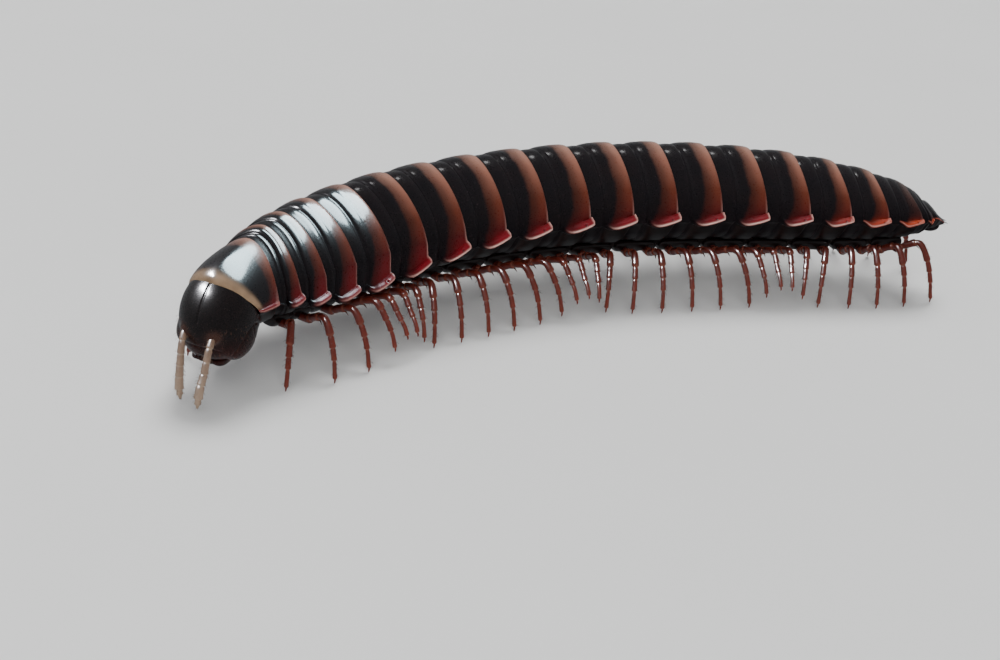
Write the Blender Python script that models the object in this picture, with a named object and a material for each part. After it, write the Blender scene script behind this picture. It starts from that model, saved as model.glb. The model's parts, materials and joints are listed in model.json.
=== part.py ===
"""A large banded flat-backed millipede, life size, walking on a flat floor.

Metres, +Z up. The floor is z = 0, the head is towards -X and the tail towards +X. The animal's
left side faces -Y. Every ring is a solid of its own, set along one curved body line.
"""

import math

import bmesh
import bpy
import numpy as np
from mathutils import Matrix, Vector

MM = 0.001
GAP = 0.3 * MM  # clearance between solids that touch in life

# Body line: heading of the tailward direction in plan, in degrees from +X
HEADING_NECK = 37.4
HEADING_MID = 0.6
HEADING_TAIL = -23.6
NECK_PLACE = (-28.15 * MM, -6.1 * MM)  # plan position of the front of the collum
KEEL_LINE_HEIGHT = 6.1 * MM  # height of the keels over the floor
NECK_DIP = 0.2 * MM  # the body line sinks by this much over the first rings
NECK_DIP_RINGS = 6

# Rings: the collum is ring 1, the last legless ring is 19, and the telson closes the tail
RING_COUNT = 19
COLLUM_LENGTH = 4.2 * MM
MID_PITCH = 3.67 * MM
FRONT_SHORTENING = 0.53
FRONT_SPREAD = 2.8  # rings over which the front shortening fades
REAR_SHORTENING = 0.24
REAR_START = 14
LAST_RING_LENGTH = 1.45 * MM
TELSON_LENGTH = 1.7 * MM
TELSON_DROP = 0.8 * MM  # the tip of the tail below the keel line

# Cross-section of a mid-body ring, heights measured from the keel line
DOME_HALF_WIDTH = 3.92 * MM
DOME_HEIGHT = 4.37 * MM
DOME_POWER = 1.17  # over 1 makes the arch of the back steeper than an ellipse at its shoulders
DOME_ANGLES = (18, 36, 54, 70, 84)  # degrees from the midline of the back
BELLY_DEPTH = 2.4 * MM
STERNUM_HALF_WIDTH = 1.9 * MM
NECK_NARROWING = 0.53  # share of the width missing at the front, fading over the rings below
NECK_NARROWING_RINGS = 2.8
NECK_LOWERING = 0.37
NECK_LOWERING_RINGS = 2.6
NECK_SHALLOWING = 0.20
NECK_SHALLOWING_RINGS = 2.0
WIDTH_FALL_START, WIDTH_FALL_RINGS = 12, 8.6  # the tail's taper: ring where it starts, rings to a point
HEIGHT_FALL_START, HEIGHT_FALL_RINGS = 9, 10.5
DEPTH_FALL_START, DEPTH_FALL_RINGS = 13, 7.6
KEEL_REACH = 0.55 * MM
KEEL_SHOULDER = 0.75  # shares of the reach at the keel's upper and lower edge
KEEL_UNDERCUT = 0.45
KEEL_TOP = 0.28 * MM
KEEL_BOTTOM = 0.34 * MM
FLANK = ((0.86, 0.25), (0.80, 0.56), (0.64, 0.86))  # shares of the dome's half width and of the belly depth

# One ring from front to rear: the narrow front part, then the plate with its keels
FRONT_PART_LENGTH = 0.95 * MM
FRONT_PART_SIZE = 0.93
WAIST_SIZE = 0.905
PLATE_EDGE_SIZE = 0.98
PLATE_STEP = 0.16 * MM  # run of the step from the waist up to the plate
KEEL_FRONT_SETBACK = 0.25 * MM
EDGE_BEVEL = 0.02 * MM  # the rear edge of a plate stands this far ahead of the joint face
BACK_NOTCH = 0.15 * MM  # the rear edge of a plate is drawn in on the midline of the back
KEEL_RISE = 0.3 * MM  # the keel's rim is this much lower in front and higher at the rear
FRONT_KEEL_DROP = 1.5 * MM  # the keels of the front rings hang lower on the flank
FRONT_KEEL_DROP_RING = 4.2
FRONT_KEEL_DROP_SPREAD = 2.6
FRONT_LEAN = 1.7 * MM  # the sides of the first rings stand this far ahead of their midline
FRONT_LEAN_SPREAD = 2.5  # rings over which that fades
REAR_LEAN = 0.78 * MM  # the keels of ring 18 reach back past its midline by this much
REAR_LEAN_START = 8
FRONT_TILT = 0.48  # tangent: the tops of the first rings lean forward
FRONT_TILT_SPREAD = 5.4  # rings over which that fades
COLLUM_LOBE_SETBACK = 0.35 * MM
COLLUM_OUTLINES = (  # share of its length, size, keel
    (0.0, 0.90, 0.0),
    (0.03, 0.97, 0.2),
    (0.3, 1.0, 0.35),
    (0.66, 1.0, 0.45),
)
HOOD_TILT = 33.0  # degrees: the joint of collum and head leans forward over the head
TAIL_LEAN = 0.4 * MM

# Legs: two pairs to a ring from ring 5 to 18, one pair on rings 2 to 4
FIRST_LEG_RING = 2
FIRST_DOUBLE_RING = 5
LAST_LEG_RING = 18
LEG_PLATE_THICKNESS = 0.85 * MM
LEG_PLATE_BEVEL = 0.2 * MM
LEG_ROOT_LATERAL = 0.9 * MM
HIP_LENGTH = 0.45 * MM  # stretch between the plate and the hip joint
LEG_REACH = 3.9 * MM  # plan distance from hip joint to foot
LEG_KNOTS = (  # share of the way from hip to foot, share of the hip's height
    (0.0, 1.0),
    (0.22, 1.14),
    (0.50, 1.24),
    (0.74, 0.92),
    (0.90, 0.52),
    (0.98, 0.18),
    (1.0, 0.10),
    (1.0, 0.0),
)
LEG_SIZE_RINGS = (1, 5, 14, 18)
LEG_SIZES = (0.80, 1.0, 1.0, 0.78)
SWING_LIFT = 1.6 * MM  # how high a foot is carried forward
WAVE_LEGS = 9.45  # legs in one walking wave
WAVE_PHASE = 0.285
WAVE_STANCE = 0.52  # share of a wave in which feet stand on the floor
WAVE_STRIDE = 1.85 * MM  # foot travel to either side of the root
SINGLE_LEG_STRIDE = 0.5  # the share of it that the single pairs at the front take
FIRST_LEG_LEAN = -2.75 * MM
FIRST_LEAN_LEGS = 1.8  # legs over which that fades
LAST_LEG_LEAN = 1.9 * MM
LAST_LEAN_LEGS = 2.6
LEG_RADII = (0.36, 0.37, 0.35, 0.33, 0.30, 0.27, 0.25, 0.24, 0.17)  # mm, root to foot

# Head: a capsule bent down in front of the collum. Its frame: X forward, Y to the left, Z up
HEAD_DROP = 0.75 * MM  # centre of the head below the keel line
SKULL_HALF_SIZE = (2.55 * MM, 2.55 * MM, 2.75 * MM)
SKULL_TILT = 22.0  # degrees, the mouth drawn back under the vertex
FACE_PLACE = (0.85 * MM, 0.0, -1.15 * MM)
FACE_HALF_SIZE = (1.45 * MM, 1.7 * MM, 1.4 * MM)
CHEEK_PLACE = (0.35 * MM, 1.72 * MM, -1.2 * MM)
CHEEK_HALF_SIZE = (1.35 * MM, 0.85 * MM, 1.25 * MM)
HEAD_FLOOR = 2.35 * MM  # the capsule is cut flat this far below its centre
MOUTH_PLATE_THICKNESS = 0.6 * MM
MOUTH_PLATE_HALF_WIDTH = 1.35 * MM
MOUTH_PLATE_PROFILE = ((1.0, 0.0), (0.4, 0.0), (0.3, 1.0), (0.8, 0.7))  # shares of half width and thickness
MOUTH_PLATE_OUTLINES = ((-0.3, 0.82), (0.1, 1.0), (0.8, 0.95), (1.4, 0.6))  # mm forward, share of width
SOCKET_PLACE = (2.08 * MM, 0.78 * MM, -0.4 * MM)
SOCKET_AXIS = (0.86, 0.30, -0.40)
SOCKET_RADIUS = 0.48 * MM
SOCKET_RIM = 0.15 * MM  # how far the socket stands off the face
SOCKET_DEPTH = 0.7 * MM  # and how far it reaches into it
ANTENNA_LENGTH = 4.2 * MM
ANTENNA_RADII = (0.29, 0.27, 0.30, 0.28, 0.31, 0.29, 0.33, 0.30, 0.34, 0.31, 0.22)  # mm, root to tip
ANTENNA_PITCH = {  # for each side: share of the length, degrees below level
    -1: ((0.0, 42.0), (0.2, 72.0), (0.45, 80.0), (0.6, 58.0), (0.8, 78.0), (1.0, 88.0)),
    1: ((0.0, 48.0), (0.2, 78.0), (0.6, 88.0), (1.0, 72.0)),
}
ANTENNA_YAW = {  # for each side: share of the length, degrees outward
    -1: ((0.0, 12.0), (0.5, 0.0), (1.0, 20.0)),
    1: ((0.0, 0.0), (0.3, -35.0), (1.0, -80.0)),
}

# Telson: a cone flattened to a point over two anal valves
TELSON_OUTLINES = (  # share of its length, size, share of the drop
    (0.12, 1.0, 0.05),
    (0.33, 0.82, 0.25),
    (0.6, 0.50, 0.6),
    (0.85, 0.26, 0.9),
)
VALVE_PLACE = (0.55 * MM, 0.38 * MM, -0.62 * MM)
VALVE_HALF_SIZE = (0.95 * MM, 0.42 * MM, 0.66 * MM)
VALVE_FRONT = 0.15 * MM  # the valves begin this far behind the telson's front

# Surface colours (linear RGB), roughness
MATERIALS = {
    "shell": ((0.035, 0.016, 0.013), 0.22),
    "head": ((0.020, 0.012, 0.010), 0.25),
    "legs": ((0.150, 0.030, 0.020), 0.35),
    "antennae": ((0.110, 0.050, 0.035), 0.40),
}


def ring_length(ring):
    """Length of a ring along the body line: short at the neck, full amidships, shorter again at the tail."""
    if ring == 1:
        return COLLUM_LENGTH
    if ring == RING_COUNT:
        return LAST_RING_LENGTH
    front = FRONT_SHORTENING * math.exp(-(((ring - 2) / FRONT_SPREAD) ** 2))
    rear = REAR_SHORTENING * (max(0.0, ring - REAR_START) / (LAST_LEG_RING - REAR_START)) ** 1.5
    return MID_PITCH * (1 - front - rear)


JOINTS = np.concatenate([[0.0], np.cumsum([ring_length(r) for r in range(1, RING_COUNT + 1)])])
BODY_LENGTH = JOINTS[-1] + TELSON_LENGTH


def heading(s):
    """Heading in radians at arc length s: a quadratic through the neck, middle and tail values."""
    u = np.asarray(s) / BODY_LENGTH
    degrees = (
        HEADING_NECK * (1 - u) * (1 - 2 * u) + HEADING_MID * 4 * u * (1 - u) + HEADING_TAIL * u * (2 * u - 1)
    )
    return np.radians(degrees)


LINE_S = np.linspace(-6 * MM, BODY_LENGTH + 4 * MM, 1401)


def line_points():
    """The body line in plan: the heading integrated by the trapezoid rule, with s = 0 at the neck."""
    step = LINE_S[1] - LINE_S[0]
    direction = np.stack([np.cos(heading(LINE_S)), np.sin(heading(LINE_S))], 1)
    path = np.concatenate([[[0.0, 0.0]], np.cumsum((direction[1:] + direction[:-1]) / 2 * step, 0)])
    at_neck = [np.interp(0.0, LINE_S, path[:, k]) for k in (0, 1)]
    return path - at_neck + np.array(NECK_PLACE)


LINE_XY = line_points()


def on_body(s, lateral, height):
    """World points at arc length s, a lateral offset (positive to the animal's right) and a height."""
    s, lateral, height = np.broadcast_arrays(s, lateral, height)
    turn = heading(s)
    x = np.interp(s, LINE_S, LINE_XY[:, 0]) - np.sin(turn) * lateral
    y = np.interp(s, LINE_S, LINE_XY[:, 1]) + np.cos(turn) * lateral
    return np.stack([x, y, height + 0 * x], -1)


def ring_place(s):
    """The ring number as a running value: 0 at the neck, 1 at the rear edge of the collum, and so on."""
    return np.interp(s, np.append(JOINTS, BODY_LENGTH), np.arange(RING_COUNT + 2))


def width_share(place):
    """Body width against mid-body: narrower at the neck, tapering over the last eight rings."""
    front = NECK_NARROWING * np.exp(-np.maximum(place, 1.0) / NECK_NARROWING_RINGS)
    return 1 - front - (np.clip(place - WIDTH_FALL_START, 0, None) / WIDTH_FALL_RINGS) ** 3.2


def height_share(place):
    """Height of the dome against mid-body, falling earlier than the width does."""
    front = NECK_LOWERING * np.exp(-place / NECK_LOWERING_RINGS)
    return 1 - front - (np.clip(place - HEIGHT_FALL_START, 0, None) / HEIGHT_FALL_RINGS) ** 3.1


def depth_share(place):
    """Depth of the belly under the keel line against mid-body."""
    front = NECK_SHALLOWING * np.exp(-place / NECK_SHALLOWING_RINGS)
    return 1 - front - 0.9 * (np.clip(place - DEPTH_FALL_START, 0, None) / DEPTH_FALL_RINGS) ** 3


def keel_drop(place):
    """How far the keels hang below the keel line: most on the fourth ring, none from ring 9 on."""
    return FRONT_KEEL_DROP * np.exp(-(((place - FRONT_KEEL_DROP_RING) / FRONT_KEEL_DROP_SPREAD) ** 2))


def line_height(place):
    """Height of the keel line over the floor: level, and sinking towards the neck."""
    return KEEL_LINE_HEIGHT - NECK_DIP * np.clip(1 - place / NECK_DIP_RINGS, 0, None) ** 1.3


def keel_lean(joint):
    """How far a joint's edge at the keels stands ahead of (-) or behind (+) its edge on the back.

    The sides of the first rings lean forward, fading as a bell curve, and those of the rear rings
    reach back ever more.
    """
    if joint == 0:
        return COLLUM_LOBE_SETBACK
    if joint == RING_COUNT:
        return TAIL_LEAN
    front = FRONT_LEAN * math.exp(-(((joint - 1) / FRONT_LEAN_SPREAD) ** 2))
    rear = REAR_LEAN * (max(0, joint - REAR_LEAN_START) / (LAST_LEG_RING - REAR_LEAN_START)) ** 1.2
    return rear - front


def top_tilt(joint):
    """Slope by which the back above the keel line leans forward at a joint, fading from the collum on."""
    return FRONT_TILT * math.exp(-(((joint - 1) / FRONT_TILT_SPREAD) ** 2))


def belly_height(s):
    """Height of the flat underside over the floor."""
    return line_height(ring_place(s)) - BELLY_DEPTH * depth_share(ring_place(s))


def keel_height(keel):
    """Thickness of the keel's upper half against its full one, for a keel pushed out by a share."""
    return 0.6 + 0.4 * keel


def half_section(size, keel, drop, rise):
    """One side of a ring's outline from the midline of the back to the midline of the belly.

    The back is an arch above the keel line, the keel three points pushed out by its reach, and the
    flank falls in to the flat sternum. Returns lateral offsets and heights over the keel line.
    """
    angles = np.radians((0.0,) + DOME_ANGLES)
    lateral = list(DOME_HALF_WIDTH * size * np.sin(angles) ** DOME_POWER)
    height = list(DOME_HEIGHT * size * np.cos(angles) ** DOME_POWER)
    reach = KEEL_REACH * keel
    edge = DOME_HALF_WIDTH * size
    middle = rise * keel - drop
    lateral += [edge + KEEL_SHOULDER * reach, edge + reach, edge + KEEL_UNDERCUT * reach]
    height += [middle + KEEL_TOP * keel_height(keel), middle, middle - KEEL_BOTTOM]
    for wide, deep in FLANK:
        lateral.append(DOME_HALF_WIDTH * wide * (0.5 + 0.5 * size))
        height.append(-(BELLY_DEPTH * deep + drop * (1 - deep)))
    lateral += [STERNUM_HALF_WIDTH, 0.0]
    height += [-BELLY_DEPTH, -BELLY_DEPTH]
    return np.array(lateral), np.array(height)


def head_height():
    """Height of the head's centre over the floor."""
    return float(line_height(0.0)) - HEAD_DROP


def section(s_edge, s_shift, size, keel, rise=0.0, tilt=0.0, hood=0.0):
    """World points of a full outline round the body at arc length s_edge, each moved along by its own shift.

    s_shift is (at the midline, at the keel): between them the shift follows the square of the
    lateral share. The tilt moves each point of the back forward by that share of its height over
    the keel line, and the hood moves every point forward by that share of its height over the
    head's centre.
    """
    place = float(ring_place(s_edge))
    lateral, height = half_section(size, keel, float(keel_drop(place)), rise)
    share = np.clip(lateral / DOME_HALF_WIDTH, 0, 1) ** 2
    shift = s_shift[0] + (s_shift[1] - s_shift[0]) * share
    low, narrow = float(depth_share(place)), float(width_share(place))
    tall = float(height_share(place))
    height = np.where(height > 0, height * tall, height * low)
    lateral = lateral * narrow
    shift = shift - tilt * np.maximum(height, 0.0)
    height = height + float(line_height(place))
    shift = shift - hood * (height - head_height())
    right = np.stack([s_edge + shift, lateral, height], 1)
    left = right[-2:0:-1] * (1, -1, 1)
    whole = np.concatenate([right, left])
    return on_body(whole[:, 0], whole[:, 1], whole[:, 2])


def material(name):
    """A Principled material with the part's colour and roughness."""
    found = bpy.data.materials.get(name)
    if found:
        return found
    made = bpy.data.materials.new(name)
    made.use_nodes = True
    colour, rough = MATERIALS[name]
    shader = made.node_tree.nodes["Principled BSDF"]
    shader.inputs["Base Color"].default_value = (*colour, 1)
    shader.inputs["Roughness"].default_value = rough
    shader.inputs["Metallic"].default_value = 0.0
    return made


def loft(sections, tip=None):
    """A closed mesh through outlines of equal point count; each end is a fan about its mean or a tip."""
    count = len(sections[0])
    bm = bmesh.new()
    rows = [[bm.verts.new(p) for p in outline] for outline in sections]
    for near, far in zip(rows, rows[1:]):
        for k in range(count):
            m = (k + 1) % count
            bm.faces.new((near[k], near[m], far[m], far[k]))
    first = bm.verts.new(np.mean(sections[0], 0))
    last = bm.verts.new(np.mean(sections[-1], 0) if tip is None else tip)
    for k in range(count):
        m = (k + 1) % count
        bm.faces.new((first, rows[0][m], rows[0][k]))
        bm.faces.new((last, rows[-1][k], rows[-1][m]))
    bmesh.ops.triangulate(bm, faces=bm.faces)
    bmesh.ops.recalc_face_normals(bm, faces=bm.faces)
    mesh = bpy.data.meshes.new("loft")
    bm.to_mesh(mesh)
    bm.free()
    return mesh


def frame_at(s):
    """The placing matrix of a piece that grows at arc length s: X tailward, Y to the right, Z up."""
    turn = Matrix.Rotation(float(heading(s)), 4, "Z")
    return Matrix.Translation(Vector(on_body(s, 0.0, line_height(ring_place(s))))) @ turn


def add_object(name, mesh, where, finish, parent):
    """Puts a mesh given in world space into an object whose own frame is `where`."""
    mesh.transform(where.inverted())
    mesh.name = name
    mesh.shade_smooth()
    mesh.set_sharp_from_angle(angle=math.radians(38))
    mesh.materials.clear()
    mesh.materials.append(material(finish))
    made = bpy.data.objects.new(name, mesh)
    parent["collection"].objects.link(made)
    made.parent = parent["root"]
    made.matrix_world = where
    return made


def ring_sections(ring):
    """The outlines of one ring: narrow front part, waist, front edge of the plate, its middle and rear edge.

    Both ends follow the joints' own lean, so that neighbours stay parallel all round.
    """
    start, end = JOINTS[ring - 1] + GAP / 2, JOINTS[ring] - GAP / 2
    length = end - start
    front = min(FRONT_PART_LENGTH, 0.30 * length)
    lead, trail = keel_lean(ring - 1), keel_lean(ring)
    tilt, tilt_end = top_tilt(ring - 1), top_tilt(ring)
    plate = start + front + PLATE_STEP
    setback = min(KEEL_FRONT_SETBACK, 0.1 * length)
    rear = end - EDGE_BEVEL
    middle = 0.5 * (plate + rear)
    return [
        section(start, (0, lead), WAIST_SIZE, 0, 0.0, tilt),
        section(start + 0.5 * front, (0, lead), FRONT_PART_SIZE, 0, 0.0, tilt),
        section(start + front, (0, lead), WAIST_SIZE, 0, 0.0, tilt),
        section(plate, (0, lead + setback), PLATE_EDGE_SIZE, 0.6, -KEEL_RISE, tilt),
        section(middle, (0, 0.5 * (lead + trail)), 1.0, 1.0, 0.0, 0.5 * (tilt + tilt_end)),
        section(rear, (-BACK_NOTCH, trail), PLATE_EDGE_SIZE, 1.0, KEEL_RISE, tilt_end),
        section(end, (0, trail), WAIST_SIZE, 0, 0.0, tilt_end),
    ]


def build_rings(parent):
    """Rings 2 to 19, each one closed solid between its two joint planes."""
    for ring in range(2, RING_COUNT + 1):
        where = frame_at(0.5 * (JOINTS[ring - 1] + JOINTS[ring]))
        add_object(f"ring_{ring:02d}", loft(ring_sections(ring)), where, "shell", parent)


def build_collum(parent):
    """The collum: a broad shield over the back of the head, with side lobes that narrow and hang low.

    Its front lies in a plane that leans forward by the hood's tilt, and the tilt fades to the rear.
    """
    end = COLLUM_LENGTH - GAP / 2
    lead, trail = keel_lean(0), keel_lean(1)
    hood, tilt = math.tan(math.radians(HOOD_TILT)), top_tilt(1)
    outlines = []
    for share, size, keel in COLLUM_OUTLINES:
        shift = (0, lead + share * (trail - lead))
        outlines.append(section(share * end, shift, size, keel, 0.0, tilt * share, hood * (1 - share)))
    outlines.append(section(end - EDGE_BEVEL, (-BACK_NOTCH, trail), PLATE_EDGE_SIZE, 0.4, 0.0, tilt))
    outlines.append(section(end, (0, trail), WAIST_SIZE, 0, 0.0, tilt))
    add_object("collum", loft(outlines), frame_at(0.5 * COLLUM_LENGTH), "shell", parent)


def ellipsoid(centre, half_size, frame, segments=14, rings=9):
    """A stretched sphere as a temporary mesh, its axes along the frame's."""
    bm = bmesh.new()
    bmesh.ops.create_uvsphere(bm, u_segments=segments, v_segments=rings, radius=1.0)
    scale = Matrix.Diagonal((*half_size, 1.0))
    bm.transform(frame @ Matrix.Translation(Vector(centre)) @ scale)
    mesh = bpy.data.meshes.new("ellipsoid")
    bm.to_mesh(mesh)
    bm.free()
    return mesh


def tube(points, radii, sides_level=1):
    """A closed tube along a polyline: a curve with a bevel and filled caps, welded as a mesh."""
    curve = bpy.data.curves.new("tube", "CURVE")
    curve.dimensions = "3D"
    curve.bevel_depth = 1.0
    curve.bevel_resolution = sides_level
    curve.use_fill_caps = True
    spline = curve.splines.new("POLY")
    spline.points.add(len(points) - 1)
    for knot, place, radius in zip(spline.points, points, radii):
        knot.co = (*place, 1.0)
        knot.radius = radius
    holder = bpy.data.objects.new("tube", curve)
    bpy.context.scene.collection.objects.link(holder)
    bpy.context.view_layer.update()
    mesh = bpy.data.meshes.new_from_object(holder.evaluated_get(bpy.context.evaluated_depsgraph_get()))
    bpy.data.objects.remove(holder)
    bpy.data.curves.remove(curve)
    bm = bmesh.new()
    bm.from_mesh(mesh)
    bmesh.ops.remove_doubles(bm, verts=bm.verts, dist=0.002 * MM)
    bmesh.ops.recalc_face_normals(bm, faces=bm.faces)
    bm.to_mesh(mesh)
    bm.free()
    return mesh


def spread(verts):
    """Diagonal of the box round a group of vertices."""
    places = np.array([v.co for v in verts])
    return float(np.linalg.norm(places.max(0) - places.min(0)))


def largest_body(mesh):
    """Keeps the closed surface that reaches over the largest box, and drops the rest."""
    bm = bmesh.new()
    bm.from_mesh(mesh)
    left = set(bm.verts)
    groups = []
    while left:
        group, edge = set(), [left.pop()]
        while edge:
            vert = edge.pop()
            group.add(vert)
            near = {e.other_vert(vert) for e in vert.link_edges} & left
            left -= near
            edge += list(near)
        groups.append(group)
    keep = max(groups, key=spread)
    bmesh.ops.delete(bm, geom=[v for v in bm.verts if v not in keep], context="VERTS")
    bmesh.ops.triangulate(bm, faces=bm.faces)
    bm.to_mesh(mesh)
    bm.free()
    return mesh


def fuse(base, others, cuts=()):
    """One Boolean union of a base mesh and closed meshes, then any cuts, as one closed mesh."""
    pool = bpy.data.collections.new("joined")
    knives = bpy.data.collections.new("knives")
    body = bpy.data.objects.new("fused", base)
    bpy.context.scene.collection.objects.link(body)
    for group, meshes in ((pool, others), (knives, cuts)):
        bpy.context.scene.collection.children.link(group)
        for mesh in meshes:
            group.objects.link(bpy.data.objects.new("piece", mesh))
    for group, meshes, how in ((pool, others, "UNION"), (knives, cuts, "DIFFERENCE")):
        if meshes:
            step = body.modifiers.new(how, "BOOLEAN")
            step.operation = how
            step.operand_type = "COLLECTION"
            step.collection = group
            step.solver = "EXACT"
    bpy.context.view_layer.update()
    made = bpy.data.meshes.new_from_object(body.evaluated_get(bpy.context.evaluated_depsgraph_get()))
    for group in (pool, knives):
        for piece in list(group.objects):
            bpy.data.objects.remove(piece)
        bpy.data.collections.remove(group)
    bpy.data.objects.remove(body)
    return largest_body(made)


def foot_wave(index):
    """(along-body offset from -1 to 1, lift from 0 to 1) of a leg in the walking wave.

    In the stance part of the wave the feet stand ever further back, leg by leg, and spread apart.
    In the swing part they are lifted and carried forward, so that their tips draw together.
    """
    u = (index / WAVE_LEGS + WAVE_PHASE) % 1.0
    if u < WAVE_STANCE:
        return -1 + 2 * u / WAVE_STANCE, 0.0
    swing = (u - WAVE_STANCE) / (1 - WAVE_STANCE)
    return 1 - 2 * swing, math.sin(math.pi * swing)


def leg_roots():
    """Every leg of one side as (ring, arc length of its root, index from the front)."""
    roots = []
    for ring in range(FIRST_LEG_RING, LAST_LEG_RING + 1):
        shares = (0.52,) if ring < FIRST_DOUBLE_RING else (0.27, 0.76)
        for share in shares:
            s = JOINTS[ring - 1] + share * (JOINTS[ring] - JOINTS[ring - 1])
            roots.append((ring, s, len(roots)))
    return roots


def leg_path(ring, s_root, index, side, count):
    """The polyline of one leg: straight out through its hip, up to the knee, and down to a vertical foot.

    Past the hip the leg swings as a whole: the foot stays LEG_REACH from the hip in plan, moved
    along the body by the walking wave, less where legs are crowded, and by a lean forward or back
    on the first and last legs.
    """
    size = leg_size(s_root)
    offset, lift = foot_wave(index)
    crowding = ring_length(ring) / MID_PITCH if ring >= FIRST_DOUBLE_RING else SINGLE_LEG_STRIDE
    lean = FIRST_LEG_LEAN * math.exp(-index / FIRST_LEAN_LEGS)
    lean += LAST_LEG_LEAN * math.exp(-(count - 1 - index) / LAST_LEAN_LEGS)
    along = WAVE_STRIDE * crowding * offset + lean
    reach = LEG_REACH * size
    out = math.sqrt(max(reach**2 - along**2, (0.5 * reach) ** 2))
    hip_lateral = plate_reach(s_root) + HIP_LENGTH
    hip_height = float(belly_height(s_root)) - GAP - 0.5 * LEG_PLATE_THICKNESS
    foot_height = SWING_LIFT * lift
    hip = on_body(s_root, side * hip_lateral, hip_height)
    foot = on_body(s_root + along, side * (hip_lateral + out), foot_height)
    points = [on_body(s_root, side * LEG_ROOT_LATERAL, hip_height)]
    for way, rise in LEG_KNOTS:
        knot = hip + way * (foot - hip)
        knot[2] = hip_height * rise + foot_height * max(0.0, 1 - rise)
        points.append(knot)
    return np.array(points)


def leg_size(s):
    """Leg length against mid-body: shorter at the neck and at the tail."""
    return float(np.interp(ring_place(s), LEG_SIZE_RINGS, LEG_SIZES))


def plate_reach(s):
    """How far the sternal plate of the legs reaches out from the midline."""
    return STERNUM_HALF_WIDTH * float(width_share(ring_place(s)))


def leg_plate(ring, side):
    """Half of a ring's sternal plate: a shallow bar under the belly, out from the midline gap."""
    start, end = JOINTS[ring - 1] + GAP / 2, JOINTS[ring] - GAP / 2
    bevel = LEG_PLATE_BEVEL
    outlines = []
    for s in (start, 0.5 * (start + end), end):
        inner, outer = GAP / 2, plate_reach(s)
        top = float(belly_height(s)) - GAP
        low = top - LEG_PLATE_THICKNESS
        lateral = np.array([inner, outer - bevel, outer, outer, outer - 2 * bevel, inner])
        height = np.array([top, top, top - bevel, low + bevel, low, low])
        outlines.append(on_body(s, side * lateral, height))
    return loft(outlines)


def build_legs(parent):
    """For each ring and side one solid: the half plate and the one or two legs rooted in it."""
    roots = leg_roots()
    for ring in range(FIRST_LEG_RING, LAST_LEG_RING + 1):
        for side, label in ((-1, "left"), (1, "right")):
            legs = [
                tube(leg_path(ring, s, index, side, len(roots)), [r * MM for r in LEG_RADII])
                for at, s, index in roots
                if at == ring
            ]
            mesh = fuse(leg_plate(ring, side), legs)
            where = frame_at(0.5 * (JOINTS[ring - 1] + JOINTS[ring]))
            add_object(f"legs_{ring:02d}_{label}", mesh, where, "legs", parent)


def head_frame():
    """The head's frame: X forward along the neck's heading, Y to the left, Z up."""
    back = on_body(-GAP, 0.0, head_height())
    turn = Matrix.Rotation(float(heading(0.0)) + math.pi, 4, "Z")
    return Matrix.Translation(Vector(back)) @ turn


def pitched(frame, degrees):
    """A frame turned about its own Y axis, its Z axis leaning forward."""
    return frame @ Matrix.Rotation(math.radians(degrees), 4, "Y")


def sided(values, side):
    """A vector of the head's frame, its lateral value turned to the animal's left (-1) or right (1)."""
    return Vector((values[0], -side * values[1], values[2]))


def build_head(parent):
    """The head capsule with its face, cheeks and antennal sockets, cut flat behind and below."""
    frame = head_frame()
    skull = ellipsoid((0, 0, 0), SKULL_HALF_SIZE, pitched(frame, SKULL_TILT), 24, 16)
    lumps = [ellipsoid(FACE_PLACE, FACE_HALF_SIZE, frame, 18, 12)]
    for side in (-1, 1):
        lumps.append(ellipsoid(sided(CHEEK_PLACE, side), CHEEK_HALF_SIZE, frame))
        place, axis = sided(SOCKET_PLACE, side), sided(SOCKET_AXIS, side)
        ends = [frame @ (place - SOCKET_DEPTH * axis), frame @ (place + SOCKET_RIM * axis)]
        lumps.append(tube(ends, [SOCKET_RADIUS, SOCKET_RADIUS]))
    behind = block((-4 * MM, 0, 0), (4 * MM, 6 * MM, 6 * MM), pitched(frame, HOOD_TILT))
    below = block((0, 0, -HEAD_FLOOR - 2 * MM), (6 * MM, 6 * MM, 2 * MM), frame)
    add_object("head", fuse(skull, lumps, [behind, below]), frame, "head", parent)


def block(centre, half_size, frame):
    """A box as a temporary mesh in the frame's axes."""
    bm = bmesh.new()
    bmesh.ops.create_cube(bm, size=2.0)
    bm.transform(frame @ Matrix.Translation(Vector(centre)) @ Matrix.Diagonal((*half_size, 1.0)))
    mesh = bpy.data.meshes.new("block")
    bm.to_mesh(mesh)
    bm.free()
    return mesh


def build_mouth_plate(parent):
    """The gnathochilarium, the plate that closes the mouth from below: flat on top, rounded beneath."""
    frame = head_frame()
    top = -HEAD_FLOOR - GAP
    edge, shoulder, keel, flank = MOUTH_PLATE_PROFILE
    profile = [
        (-edge[0], edge[1]), (-shoulder[0], shoulder[1]), shoulder, edge,
        flank, keel, (-keel[0], keel[1]), (-flank[0], flank[1]),
    ]
    outlines = []
    for along, wide in MOUTH_PLATE_OUTLINES:
        half = MOUTH_PLATE_HALF_WIDTH * wide
        ring = [frame @ Vector((along * MM, half * y, top - MOUTH_PLATE_THICKNESS * z)) for y, z in profile]
        outlines.append(np.array(ring))
    add_object("mouth_plate", loft(outlines), frame, "head", parent)


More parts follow.
